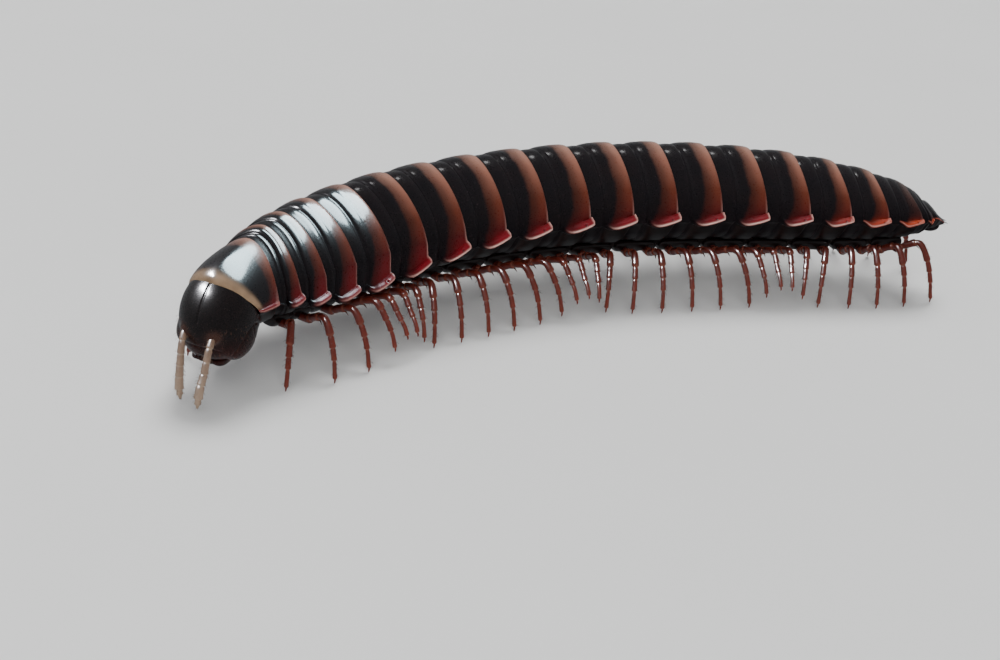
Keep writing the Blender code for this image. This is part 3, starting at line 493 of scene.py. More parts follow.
def closed_grid(points, **values):
    """A closed surface on a grid of rows and round columns, each end row closed by a fan to its mean.

    Returns vertices, quads, triangles and the values given for every grid point. Quads that would
    face inwards, by the sign of the enclosed volume, are turned round.
    """
    rows, columns = points.shape[:2]
    index = np.arange(rows * columns).reshape(rows, columns)
    step = np.roll(index, -1, 1)
    quads = np.stack([index[:-1], step[:-1], step[1:], index[1:]], -1).reshape(-1, 4)
    front, back = rows * columns, rows * columns + 1
    fan_front = np.stack([np.full(columns, front), step[0], index[0]], -1)
    fan_back = np.stack([np.full(columns, back), index[-1], step[-1]], -1)
    triangles = np.concatenate([fan_front, fan_back])
    ends = np.stack([points[0].mean(0), points[-1].mean(0)])
    verts = np.concatenate([points.reshape(-1, 3), ends])
    a, b, c = (verts[quads[:, k]] - ends[0] for k in range(3))
    if np.einsum("ij,ij->i", a, np.cross(b, c)).sum() < 0:
        quads, triangles = quads[:, ::-1], triangles[:, ::-1]
    full = {}
    for name, value in values.items():
        value = np.broadcast_to(value, (rows, columns)).astype(float)
        full[name] = np.concatenate([value.ravel(), [value[0].mean(), value[-1].mean()]])
    return verts, quads, triangles, full


def joined(shapes):
    """Several shapes as one, with 0 where a shape lacks a value that another has."""
    names = sorted({name for shape in shapes for name in shape[3]})
    verts, quads, triangles, count = [], [], [], 0
    values = {name: [] for name in names}
    for points, four, three, given in shapes:
        verts.append(points)
        quads.append(four + count)
        triangles.append(three + count)
        for name in names:
            values[name].append(given.get(name, np.zeros(len(points))))
        count += len(points)
    whole = {name: np.concatenate(parts) for name, parts in values.items()}
    return np.concatenate(verts), np.concatenate(quads), np.concatenate(triangles), whole


def add_piece(name, shapes, finish, nodes=()):
    """Puts shapes into one mesh object at the origin, which rides on the body and stands for the nodes."""
    verts, quads, triangles, values = joined(shapes)
    mesh = bpy.data.meshes.new(name)
    mesh.vertices.add(len(verts))
    mesh.vertices.foreach_set("co", verts.ravel())
    corners = np.concatenate([quads.ravel(), triangles.ravel()])
    mesh.loops.add(len(corners))
    mesh.loops.foreach_set("vertex_index", corners)
    starts = np.concatenate([4 * np.arange(len(quads)), 4 * len(quads) + 3 * np.arange(len(triangles))])
    mesh.polygons.add(len(starts))
    mesh.polygons.foreach_set("loop_start", starts)
    mesh.update(calc_edges=True)
    mesh.shade_smooth()
    for label, value in values.items():
        mesh.attributes.new(label, "FLOAT", "POINT").data.foreach_set("value", value.astype(np.float32))
    mesh.materials.append(finish)
    piece = bpy.data.objects.new(name, mesh)
    bpy.context.scene.collection.objects.link(piece)
    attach(piece, "root")
    if nodes:
        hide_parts(*nodes)


def half_marks(size, under, keel, drop, rise):
    """Marks of one side of an outline, from the midline of the back to the midline of the belly.

    The back is an arch, lateral = half width times sin(angle)^power and height = dome height times
    cos(angle)^power; then come the marks of the keel and the flank, and the flat sternum.
    """
    angles = np.radians(DOME_ANGLES)
    back = size[:, None] * np.stack([DOME_HALF_WIDTH * np.sin(angles) ** DOME_POWER,
                                     DOME_HEIGHT * np.cos(angles) ** DOME_POWER])[:, None]
    edge = DOME_HALF_WIDTH * size
    middle = KEEL_RISE * rise * keel - drop
    reach, over = np.array(KEEL_MARKS).T
    ledge = np.stack([edge[:, None] + KEEL_REACH * keel[:, None] * reach,
                      middle[:, None] + over * MM * (0.6 + 0.4 * keel[:, None])])
    wide, deep = np.array(FLANK).T
    squeeze = (0.3 + 0.7 * under)[:, None]
    flank = np.stack([DOME_HALF_WIDTH * wide * squeeze, -(BELLY_DEPTH * deep * under[:, None]
                                                          + drop[:, None] * (1 - deep))])
    belly = np.stack([STERNUM_HALF_WIDTH * np.array(STERNUM_MARKS) * squeeze,
                      -BELLY_DEPTH * under[:, None] * np.ones(len(STERNUM_MARKS))])
    return np.concatenate([back, ledge, flank, belly], -1)


def sampled(bounds, density):
    """Running numbers from the first bound to the last, with so many to a step between each two bounds."""
    parts = [np.arange(low, high, 1 / per) for low, high, per in zip(bounds, bounds[1:], density)]
    return np.append(np.concatenate(parts), bounds[-1])


MARK_COUNT = len(DOME_ANGLES) + len(KEEL_MARKS) + len(FLANK) + len(STERNUM_MARKS)
RIM_MARK = len(DOME_ANGLES) + 2.8  # the outermost line of the keel's rim
HALF_MARKS_AT = sampled((0, len(DOME_ANGLES) - 1, len(DOME_ANGLES) + len(KEEL_MARKS), MARK_COUNT - 1), POINTS_PER_MARK)


def swept_outlines(s, marks, lean, tilt, hood, notch):
    """Marks in (arc length, lateral, height) for every station of a ring.

    The shift along the body follows the square of the lateral share, plus the tilt of the back and
    the hood, so that neighbours stay parallel all round their joint.
    """
    place = ring_place(s)
    lateral, height = marks
    share = np.clip(lateral / DOME_HALF_WIDTH, 0, 1) ** 2
    shift = (lean + notch)[:, None] * share - notch[:, None]
    scale = np.where(height > 0, height_share(place)[:, None], depth_share(place)[:, None])
    height = height * scale
    lateral = lateral * width_share(place)[:, None]
    shift = shift - tilt[:, None] * np.maximum(height, 0.0)
    height = height + line_height(place)[:, None]
    shift = shift - hood[:, None] * (height - head_height())
    return np.stack([s[:, None] + shift, lateral, height], -1)


def ring_surface(stations, pore=None):
    """The whole surface through stations of marks: curves through the marks both ways, then mirrored.

    Returns world points, the running station number of each row, the running mark number of each
    column and the side that it is on. Rows lie closer together round a pore's station.
    """
    last = len(stations) - 1
    if pore is None:
        rows_at = sampled((0, last), (ROWS_PER_STATION,))
    else:
        rows_at = sampled((0, pore - 0.5, pore + 0.5, last), (ROWS_PER_STATION, ROWS_AT_PORE, ROWS_PER_STATION))
    rows = through_marks(stations, rows_at)
    columns = np.swapaxes(rows, 0, 1)
    flip = np.array([1, -1, 1])
    dense = through_marks(columns, HALF_MARKS_AT, columns[1:2] * flip, columns[-2:-1] * flip)
    right = np.swapaxes(dense, 0, 1)
    whole = np.concatenate([right, right[:, -2:0:-1] * flip], 1)
    marks_at = np.concatenate([HALF_MARKS_AT, HALF_MARKS_AT[-2:0:-1]])
    side = np.concatenate([np.ones(len(HALF_MARKS_AT)), -np.ones(len(HALF_MARKS_AT) - 2)])
    return on_body(whole[..., 0], whole[..., 1], whole[..., 2]), rows_at, marks_at, side


def round_share(marks_at):
    """How far round a point is: 0 on the back's midline, 1 at the keel's rim, 2 on the belly's midline."""
    return np.interp(marks_at, [0, RIM_MARK, MARK_COUNT - 1], [0, 1, 2])


def shell_values(plate, marks_at, paleness):
    """The values that the shell's finish reads: place along the ring, share of the way round, pale rim.

    The rim runs along the keel, its pale edge brightened into a painted highlight, and, fainter, up the rear edge of
    the plate as a painted highlight.
    """
    round_ = round_share(marks_at)[None]
    rim = bell(marks_at, RIM_MARK + 0.25, 0.42)[None] * rise_between(plate, *RIM_START)
    low = rise_between(round_, 0.45, 0.9) * (1 - rise_between(round_, 1.0, 1.06))
    # A painted highlight: a pale line up the lower rear edge of the plate, in the rim's colour.
    rim = np.maximum(rim, REAR_EDGE_HIGHLIGHT * low * rise_between(plate, *REAR_HIGHLIGHT_START)) * (plate < 2.2)
    return {"plate": plate + 0 * round_, "round": round_ + 0 * plate, "rim": paleness * rim}


def ring_shape(ring):
    """One ring: narrow front part that slips into the ring before, plate with keels, hollow rear edge."""
    start, end = JOINTS[ring - 1] + GAP / 2, JOINTS[ring] - GAP / 2
    length = end - start
    front = min(FRONT_PART_LENGTH, FRONT_PART_SHARE * length)
    place, extra, size, under, keel, rise = np.array(RING_STATIONS).T
    fit = np.where(np.arange(len(place)) < FRONT_STATIONS, 1.0, min(1.0, length / FULL_STATION_LENGTH))
    s = start + front * np.minimum(place, 1) + (length - front) * np.maximum(place - 1, 0) + extra * fit * MM
    blend = np.clip(place - 1, 0, 1)
    lean = keel_lean(ring - 1) + blend * (keel_lean(ring) - keel_lean(ring - 1))
    tilt = top_tilt(ring - 1) + blend * (top_tilt(ring) - top_tilt(ring - 1))
    notch = BACK_NOTCH * rise_between(place, 1.5, 2.0)
    marks = half_marks(size, under, keel, keel_drop(ring_place(s)), rise)
    stations = swept_outlines(s, marks, lean, tilt, 0 * s, notch)
    points, rows_at, marks_at, side = ring_surface(stations, PORE_STATION if ring in PORE_RINGS else None)
    plate = through_marks(place + 0.5 * extra * fit, rows_at)
    plate = np.where(rows_at > len(place) - WALL_STATIONS, WALL_PLACE, plate)
    normal = grid_normals(points)
    normal = normal * np.sign(normal[len(rows_at) // 2, 0, 2])
    furrow = bell(plate, FURROW_PLACE, FURROW_WIDTH)[:, None] * (1 - rise_between(marks_at, *FURROW_FADE))[None]
    points = points - normal * (FURROW_DEPTH * furrow)[..., None]
    tail = rise_between(ring, *TAIL_RINGS)
    # The keel rims of the front rings are dimmed as painted shade; those of the tail rings give way to orange.
    paleness = (FRONT_SHADED_RIM_SHARE + (1 - FRONT_SHADED_RIM_SHARE) * rise_between(ring, *RIM_SHADE_RINGS)) * (1 - TAIL_DIMMING * tail)
    plate = plate[:, None] + 0.3 * tail * bell(marks_at, RIM_MARK, 1.5)[None] * (plate < 1.9)[:, None]
    values = shell_values(plate, marks_at, paleness)
    if ring in PORE_RINGS:
        row = np.abs(rows_at - PORE_STATION).argmin()
        pore = np.zeros(points.shape[:2])
        for way in (LEFT, RIGHT):
            column = np.where(side == way, np.abs(marks_at - RIM_MARK + PORE_MARKS_IN), np.inf).argmin()
            away = np.linalg.norm(points - points[row, column], axis=-1)
            pit = bell(away, 0, 0.55 * PORE_RADIUS) - 0.35 * bell(away, 1.3 * PORE_RADIUS, 0.5 * PORE_RADIUS)
            points = points - normal * (PORE_DEPTH * pit)[..., None]
            pore = pore + bell(away, 0, 0.6 * PORE_RADIUS)
        values["pore"] = pore
    values["tail"] = tail + 0 * points[..., 0]
    return closed_grid(points, **values)


def collum_shape():
    """The collum: a shield over the back of the head, hollow in front for the head and behind for ring 2."""
    end = COLLUM_LENGTH - GAP / 2
    share, extra, size, under, keel, tall = np.array(COLLUM_STATIONS).T
    s = share * end + extra * MM
    lean = keel_lean(0) + share * (keel_lean(1) - keel_lean(0))
    marks = half_marks(size, under, keel, keel_drop(ring_place(s)), 0 * s)
    marks[1] = np.where(marks[1] > 0, marks[1] * tall[:, None], marks[1])
    notch = BACK_NOTCH * rise_between(share, 0.8, 1.0)
    stations = swept_outlines(s, marks, lean, top_tilt(1) * share, math.tan(HOOD_TILT) * (1 - share), notch)
    points, rows_at, marks_at, _ = ring_surface(stations)
    along = through_marks(share + COLLUM_SHARE_PER_MM * extra, rows_at)
    round_ = round_share(marks_at)[None]
    plate = np.interp(along, *zip(*COLLUM_BAND))[:, None]
    plate = np.minimum(plate + COLLUM_BAND_WIDENING * rise_between(round_, 0.55, 0.92), 2)
    plate = np.where(rows_at[:, None] > len(share) - WALL_STATIONS, WALL_PLACE, plate)
    values = shell_values(plate, marks_at, COLLUM_PALENESS)
    front = (1 - rise_between(along, *HEM_FADE)) * (rows_at > HEM_START)
    values["hem"] = front[:, None] * (1 - rise_between(round_, *HEM_SIDE_FADE))
    return closed_grid(points, **values)


def joint_skin_shapes():
    """The soft skin between the plates: the body's outline, a little smaller, carried from neck to tail.

    A second strip of superelliptic section runs along under the belly, between the leg plates.
    """
    s = np.linspace(JOINTS[1] - SKIN_OVERLAP, JOINTS[-1] - SKIN_OVERLAP, SKIN_STATIONS)
    one = np.ones(SKIN_STATIONS)
    marks = half_marks(SKIN_SIZE * one, SKIN_SIZE * one, 0 * s, keel_drop(ring_place(s)), 0 * s)
    tilt = np.interp(s, JOINTS[1:], [top_tilt(joint) for joint in range(1, RING_COUNT + 1)])
    lean = np.interp(s, JOINTS[1:], [keel_lean(joint) for joint in range(1, RING_COUNT + 1)])
    points, _, _, _ = ring_surface(swept_outlines(s, marks, lean, tilt, 0 * s, 0 * s))
    tube = closed_grid(points)
    s = np.linspace(JOINTS[1] + 0.3 * MM, JOINTS[LAST_LEG_RING] - 0.3 * MM, 3 * SKIN_STATIONS)[:, None]
    angle = full_turn(28)[None]
    lateral = SKIN_STRIP_WIDTH * plate_reach(s) * squared_off(np.cos(angle), SKIN_STRIP_POWER)
    rise = SKIN_STRIP_DEPTH * (2 * squared_off(np.sin(angle), SKIN_STRIP_POWER) - 1)
    height = belly_height(s) + LEG_PLATE_THICKNESS * rise
    return [tube, closed_grid(on_body(s, lateral, height))]


def rays(rows, longitudes, reach):
    """Unit directions on rows of latitude, which stop short of the poles by reach, and on longitudes."""
    lat = np.linspace(-0.5, 0.5, rows)[:, None] * math.pi * reach
    lon = longitudes[None]
    return np.stack([np.cos(lat) * np.cos(lon), np.cos(lat) * np.sin(lon), np.sin(lat) + 0 * lon], -1)


def superellipsoid(centre, half_size, matrix, power=2.0, rows=40, columns=56):
    """A rounded solid |x/a|^power + |y/b|^power + |z/c|^power = 1 on latitude and longitude, placed by a matrix."""
    way = rays(rows, full_turn(columns), 0.985)
    way = way / (np.abs(way) ** power).sum(-1, keepdims=True) ** (1 / power)
    return placed(np.array(centre) + way * np.array(half_size), matrix)


def placed(points, matrix):
    """Points moved by a 4 by 4 matrix."""
    m = np.array(matrix)
    return points @ m[:3, :3].T + m[:3, 3]


def frame_at(s):
    """The matrix of a piece at arc length s: X tailward, Y to the right, Z up."""
    turn = Matrix.Rotation(float(heading(s)), 4, "Z")
    return Matrix.Translation(Vector(on_body(s, 0.0, line_height(ring_place(s))))) @ turn


def foot_wave(index):
    """(along-body offset from -1 to 1, lift from 0 to 1) of a leg in the walking wave."""
    u = (index / WAVE_LEGS + WAVE_PHASE) % 1.0
    if u < WAVE_STANCE:
        return -1 + 2 * u / WAVE_STANCE, 0.0
    swing = (u - WAVE_STANCE) / (1 - WAVE_STANCE)
    return 1 - 2 * swing, math.sin(math.pi * swing)


def leg_roots():
    """Every leg of one side as (ring, arc length of its root, index from the front)."""
    roots = []
    for ring in range(FIRST_LEG_RING, LAST_LEG_RING + 1):
        for share in SINGLE_LEG_PLACE if ring < FIRST_DOUBLE_RING else DOUBLE_LEG_PLACES:
            s = JOINTS[ring - 1] + share * (JOINTS[ring] - JOINTS[ring - 1])
            roots.append((ring, s, len(roots)))
    return roots


def plate_reach(s):
    """How far the sternal plate of the legs reaches out from the midline."""
    return STERNUM_HALF_WIDTH * width_share(ring_place(s))


def leg_path(ring, s_root, index, side, count):
    """The line of one leg: straight out through its hip, up to the knee, and down to the foot."""
    size = float(np.interp(ring_place(s_root), LEG_SIZE_RINGS, LEG_SIZES))
    offset, lift = foot_wave(index)
    crowding = ring_length(ring) / MID_PITCH if ring >= FIRST_DOUBLE_RING else SINGLE_LEG_STRIDE
    lean = FIRST_LEG_LEAN * math.exp(-index / FIRST_LEAN_LEGS)
    lean += LAST_LEG_LEAN * math.exp(-(count - 1 - index) / LAST_LEAN_LEGS)
    along = WAVE_STRIDE * crowding * offset + lean
    reach = LEG_REACH * size
    out = math.sqrt(max(reach**2 - along**2, (0.5 * reach) ** 2))
    hip_lateral = float(plate_reach(s_root)) + HIP_LENGTH
    hip_height = float(belly_height(s_root)) - GAP - 0.5 * LEG_PLATE_THICKNESS
    foot_height = SWING_LIFT * lift
    hip = on_body(s_root, side * hip_lateral, hip_height)
    foot = on_body(s_root + along, side * (hip_lateral + out), foot_height)
    points = [on_body(s_root, side * LEG_ROOT_LATERAL, hip_height)]
    for way, rise in LEG_KNOTS:
        knot = hip + way * (foot - hip)
        knot[2] = hip_height * rise + foot_height * max(0.0, 1 - rise)
        points.append(knot)
    return np.array(points)


def evenly(path):
    """A smooth curve through the points of a path, as a function of shares of its length from 0 to 1."""
    fine = through_marks(path, np.linspace(0, len(path) - 1, CURVE_POINTS))
    run = np.concatenate([[0], np.cumsum(np.linalg.norm(np.diff(fine, axis=0), axis=1))])
    return lambda shares: np.stack([np.interp(shares * run[-1], run, fine[:, k]) for k in range(3)], -1)


def ahead_on(curve, shares, step):
    """Unit directions along a curve."""
    return unit(curve(np.minimum(shares + step, 1)) - curve(np.maximum(shares - step, 0)))


def jointed_radius(shares, joints):
    """Radius along a jointed limb: every joint starts at a narrow neck, swells, and ends in a rounded rim."""
    ends = np.array([e for e, _ in joints])
    sizes = np.array([r for _, r in joints]) * MM
    at = np.searchsorted(ends, shares, side="left").clip(0, len(ends) - 1)
    starts = np.concatenate([[0], ends[:-1]])
    local = (shares - starts[at]) / (ends[at] - starts[at])
    swell = JOINT_NECK + (1 - JOINT_NECK) * rise_between(local, 0.0, 0.22)
    swell = swell * (1 - JOINT_WAIST * bell(local, 0.45, 0.25)) + JOINT_BULGE * bell(local, 0.88, 0.10)
    rim = 1 - JOINT_ROUNDING * rise_between(local, 0.95, 1.0)
    return sizes[at] * swell * rim, local, at


def limb_shares(joints):
    """Shares along a limb, set closer near the ends of its joints."""
    local = 0.5 - 0.5 * np.cos(full_turn(ROUNDS_PER_JOINT) / 2)
    shares, begin = [], 0.0
    for end, _ in joints:
        shares.append(begin + (end - begin) * local)
        begin = end
    return np.append(np.concatenate(shares), 1.0)


def limb_shape(curve, joints, across, sides=14):
    """A round section of jointed radius carried along a curve; across is the direction its sides start from."""
    shares = limb_shares(joints)
    radius, local, at = jointed_radius(shares, joints)
    radius = radius * np.where(at == len(joints) - 1, np.sqrt(np.clip(1 - local**2, 0.0004, 1)), 1)
    centre = curve(shares)
    tangent = unit(np.gradient(centre, axis=0))
    normal = unit(np.cross(across, tangent))
    side_way = np.cross(tangent, normal)
    angle = full_turn(sides)[None, :, None]
    ring = np.cos(angle) * side_way[:, None] + np.sin(angle) * normal[:, None]
    points = centre[:, None] + ring * radius[:, None, None]
    edge = 1 - rise_between(np.minimum(local, 1 - local), 0.0, 0.12)
    return closed_grid(points, limb=shares[:, None], edge=edge[:, None])


def hair_shape(roots, ways, lengths, radius):
    """Fine bent hairs: three-sided cones through a root ring, a middle ring and a tip, sagging a little."""
    roots, ways, lengths = np.asarray(roots), np.asarray(ways), np.asarray(lengths)
    ways = unit(ways)
    helper = np.where(np.abs(ways[:, 2:3]) > 0.8, [[1.0, 0, 0]], [[0, 0, 1.0]])
    side_way = unit(np.cross(ways, helper))
    other = np.cross(ways, side_way)
    angle = full_turn(3)[None, :, None]
    ring = np.cos(angle) * side_way[:, None] + np.sin(angle) * other[:, None]
    low = roots[:, None] + ring * radius
    bend = HAIR_BEND * lengths[:, None] * side_way
    mid = (roots + ways * lengths[:, None] * HAIR_MIDDLE + 0.4 * bend)[:, None] + ring * radius * HAIR_THINNING
    tip = (roots + ways * lengths[:, None] + bend)[:, None]
    verts = np.concatenate([low, mid, tip], 1)
    base = 7 * np.arange(len(roots))[:, None]
    quads = np.array([[0, 1, 4, 3], [1, 2, 5, 4], [2, 0, 3, 5]])
    triangles = np.array([[3, 4, 6], [4, 5, 6], [5, 3, 6], [0, 2, 1]])
    four = (base[:, :, None] + quads[None]).reshape(-1, 4)
    three = (base[:, :, None] + triangles[None]).reshape(-1, 3)
    values = {"hair": np.ones(7 * len(roots))}
    return verts.reshape(-1, 3), four, three, values


def random_lengths(rng, shortest_and_added, count):
    """Hair lengths drawn between the shortest and the shortest with all that is added."""
    shortest, added = shortest_and_added
    return (shortest + added * rng.random(count)) * MM


def leg_hairs(curve, joints, across, seed):
    """Roots, directions and lengths of the hairs of one leg, thicker set towards its foot."""
    rng = np.random.default_rng(seed)
    shares = LEG_HAIR_SPAN[0] + LEG_HAIR_SPAN[1] * rng.random(LEG_HAIRS) ** LEG_HAIR_CROWDING
    radius, _, _ = jointed_radius(shares, joints)
    centre = curve(shares)
    ahead = ahead_on(curve, shares, 0.01)
    normal = unit(np.cross(across, ahead))
    side_way = np.cross(ahead, normal)
    angle = rng.random(len(shares)) * 2 * math.pi
    out = np.cos(angle)[:, None] * side_way + np.sin(angle)[:, None] * normal
    lengths = random_lengths(rng, LEG_HAIR_LENGTHS, LEG_HAIRS)
    return centre + out * (radius * 0.92)[:, None], out + 0.75 * ahead, lengths


def leg_plate_shape(ring, side):
    """Half of a ring's sternal plate: a superelliptic bar along the body, waisted below between its two legs."""
    start, end = JOINTS[ring - 1] + GAP / 2, JOINTS[ring] - GAP / 2
    a = np.linspace(-1, 1, 41)
    angle = full_turn(48)[None]
    taper = (1 - np.abs(a) ** 5 * 0.97) ** (1 / 3.5)
    s = 0.5 * (start + end) + 0.5 * (end - start) * a
    inner, outer = LEG_PLATE_INNER, plate_reach(s) + LEG_PLATE_SPREAD
    top = belly_height(s) + LEG_PLATE_SINK
    depth = LEG_PLATE_THICKNESS + LEG_PLATE_ADDED_DEPTH
    across, over = squared_off(np.cos(angle), LEG_PLATE_POWER), squared_off(np.sin(angle), LEG_PLATE_POWER)
    lateral = 0.5 * (inner + outer)[:, None] + 0.5 * (outer - inner)[:, None] * across
    half = 0.5 * depth * taper[:, None]
    height = (top - 0.5 * depth)[:, None] + half * over
    waist = WAIST_DEPTH * bell(a, 0, WAIST_WIDTH)[:, None] * (np.sin(angle) < 0)
    points = on_body(s[:, None], side * lateral, height + waist)
    return closed_grid(points, belly=1 + 0 * height)


def leg_shapes(ring, side, roots):
    """The half plate of one ring and side with its one or two legs, their spurs, claws and hairs."""
    shapes = [leg_plate_shape(ring, side)]
    for at, s, index in roots:
        if at != ring:
            continue
        path = leg_path(ring, s, index, side, len(roots))
        plan = path[-1] - path[1]
        across = np.array([-plan[1], plan[0], 0]) / math.hypot(plan[0], plan[1])
        curve = evenly(path)
        seed = 1000 * ring + 10 * index + (side > 0)
        shapes.append(limb_shape(curve, LEG_JOINTS, across))
        shapes.append(hair_shape(*leg_hairs(curve, LEG_JOINTS, across, seed), LEG_HAIR_RADIUS))
        spur_root = curve(np.array([SPUR_PLACE])) - (0, 0, SPUR_DROP)
        spur_way = np.array([[plan[0], plan[1], -SPUR_SLOPE * math.hypot(plan[0], plan[1])]])
        shapes.append(hair_shape(spur_root, spur_way, [SPUR_LENGTH], SPUR_RADIUS))
    return shapes


def head_frame():
    """The head's frame: X forward along the neck's heading, Y to the left, Z up."""
    back = on_body(-GAP, 0.0, head_height())
    turn = Matrix.Rotation(float(heading(0.0)) + math.pi, 4, "Z")
    return Matrix.Translation(Vector(back)) @ turn


def sided(values, side):
    """A vector of the head's frame, its lateral value turned to the animal's left or right."""
    return Vector((values[0], -side * values[1], values[2]))


def ray_to_ellipsoid(ways, centre, half_size, tilt=0.0):
    """Distance along rays from the head's centre to the far side of an ellipsoid, 0 where they miss."""
    turn = np.array(Matrix.Rotation(-tilt, 3, "Y"))
    d, c, a = ways @ turn.T, turn @ np.array(centre), np.array(half_size)
    square, mixed = ((d / a) ** 2).sum(-1), (d * c / a**2).sum(-1)
    rest = mixed**2 - square * (((c / a) ** 2).sum() - 1)
    return np.where(rest > 0, (mixed + np.sqrt(np.maximum(rest, 0))) / square, 0.0)


def soft_union(distances, softness):
    """A smooth maximum: softness times the logarithm of the sum of exponentials."""
    top = np.max(distances, 0)
    return top + softness * np.log(sum(np.exp((d - top) / softness) for d in distances))


def head_shapes():
    """The head capsule: the smooth union of skull, face and cheeks along rays from its centre.

    Bell curves cut its sutures, its lip, the sockets of the feelers and the outline of the jaw plates.
    """
    ways = rays(HEAD_ROWS, full_turn(HEAD_COLUMNS) - math.pi, 0.994)
    skull = ray_to_ellipsoid(ways, (0, 0, 0), SKULL_HALF_SIZE, SKULL_TILT)
    face = ray_to_ellipsoid(ways, FACE_PLACE, FACE_HALF_SIZE)
    cheeks = [ray_to_ellipsoid(ways, sided(CHEEK_PLACE, side), CHEEK_HALF_SIZE) for side in (LEFT, RIGHT)]
    reach = soft_union([soft_union([skull, face], FACE_SOFTNESS)] + cheeks, CHEEK_SOFTNESS)
    floor = np.where(ways[..., 2] < -0.05, -HEAD_FLOOR / np.minimum(ways[..., 2], -0.05), 99.0)
    reach = -soft_union([-reach, -floor], HEAD_FLOOR_SOFTNESS)
    points = ways * reach[..., None]
    x, y, z = points[..., 0], points[..., 1], points[..., 2]
    suture = bell(y, 0, SUTURE_WIDTH) * rise_between(z, 0.1, 0.5) * (x > -0.6)
    groove = bell(z, GROOVE_HEIGHT - GROOVE_BOW * y**2, GROOVE_WIDTH) * (1 - rise_between(np.abs(y), 1.1, 1.5))
    groove = groove * (x > 0.5)
    lip = rise_between(-z, *LIP_DEPTHS) * (x > 1.0)
    teeth = bell(np.abs(y), TOOTH_SPACING, TOOTH_WIDTH) + bell(y, 0, TOOTH_WIDTH)
    reach = reach - SUTURE_DEPTH * suture - GROOVE_DEPTH * groove
    reach = reach - NOTCH_DEPTH * bell(y, 0, NOTCH_WIDTH) * lip + TOOTH_HEIGHT * teeth * lip
    shade = 0 * x
    for side in (LEFT, RIGHT):
        away = np.linalg.norm(points - np.array(sided(SOCKET_PLACE, side)), axis=-1)
        ring_radius, ring_width, ring_height = SOCKET_RING
        pit_radius, pit_depth = SOCKET_PIT
        reach = reach + ring_height * bell(away, ring_radius, ring_width) - pit_depth * bell(away, 0, pit_radius)
        shade = shade + bell(away, 0.45, 0.2)
        outer = rise_between(-side * y, *JAW_SIDES)
        ahead, up = x - JAW_PLACE[0], z - JAW_PLACE[1]
        along, over = JAW_TURN[0] * ahead - JAW_TURN[1] * up, JAW_TURN[1] * ahead + JAW_TURN[0] * up
        half_width = JAW_HALF_WIDTH - JAW_NARROWING * along
        jaw = (np.abs(along / JAW_HALF_LENGTH) ** JAW_POWER + np.abs(over / half_width) ** JAW_POWER) ** (1 / JAW_POWER)
        hinge = bell(along + 0.3 * over**2, HINGE_PLACE, 0.05) * (jaw < 1)
        dome = np.sqrt(np.clip(1 - jaw**2, 0, None))
        reach = reach + outer * (JAW_DOME * dome - JAW_GROOVE * bell(jaw, 1.04, 0.06) - HINGE_DEPTH * hinge)
        shade = shade + 0.2 * outer * bell(jaw, 0.98, 0.06)
    points = placed(ways * reach[..., None] * MM, head_frame())
    capsule = closed_grid(points, low=rise_between(-z, 0.2, 2.0), rim=np.minimum(shade, 1))
    rng = np.random.default_rng(11)
    normal = grid_normals(points)
    normal *= np.sign((normal * (points - points.mean((0, 1)))).sum(-1, keepdims=True))
    bare = (x < 0.6) | (z > 0.2) | (z < -2.2) | (shade > 0.5)
    chance = np.where(bare, 0, np.hypot(ways[..., 0], ways[..., 1])).ravel()
    at = rng.choice(chance.size, HEAD_HAIRS, replace=False, p=chance / chance.sum())
    roots, ways_out = points.reshape(-1, 3)[at], normal.reshape(-1, 3)[at]
    lengths = random_lengths(rng, HEAD_HAIR_LENGTHS, HEAD_HAIRS)
    return [capsule, hair_shape(roots, ways_out + (0, 0, -0.8), lengths, HEAD_HAIR_RADIUS)]


def mouth_plate_shapes():
    """The gnathochilarium: two long side plates and a middle plate under the mouth, with small feelers in front."""
    plates = [MOUTH_PLATES[0]]
    plates += [(sided(place, side), half) for side in (LEFT, RIGHT) for place, half in MOUTH_PLATES[1:]]
    shapes = []
    for place, half in plates:
        centre = np.array(place) * MM - (0, 0, HEAD_FLOOR * MM + MOUTH_GAP)
        points = superellipsoid(centre, np.array(half) * MM, head_frame(), MOUTH_POWER, 24, 36)
        shapes.append(closed_grid(points, low=1.0, rim=0.0))
    return shapes


def antenna_path(side):
    """An antenna's line in world space, from its socket forward and then down, stopping over the floor."""
    matrix = head_frame()
    place, axis = sided(SOCKET_PLACE, side) * MM, sided(SOCKET_AXIS, side)
    points = [matrix @ (place + axis * (SOCKET_RIM + GAP))]
    for k in range(ANTENNA_STEPS):
        share = (k + 0.5) / ANTENNA_STEPS
        pitch = math.radians(np.interp(share, *zip(*ANTENNA_PITCH[side])))
        yaw = math.radians(np.interp(share, *zip(*ANTENNA_YAW[side])))
        flat = math.cos(pitch)
        way = sided((flat * math.cos(yaw), flat * math.sin(yaw), -math.sin(pitch)), side)
        points.append(points[-1] + matrix.to_3x3() @ way * (ANTENNA_LENGTH / ANTENNA_STEPS))
    root = matrix @ (place - axis * 0.15 * MM)
    return np.array([root] + points)


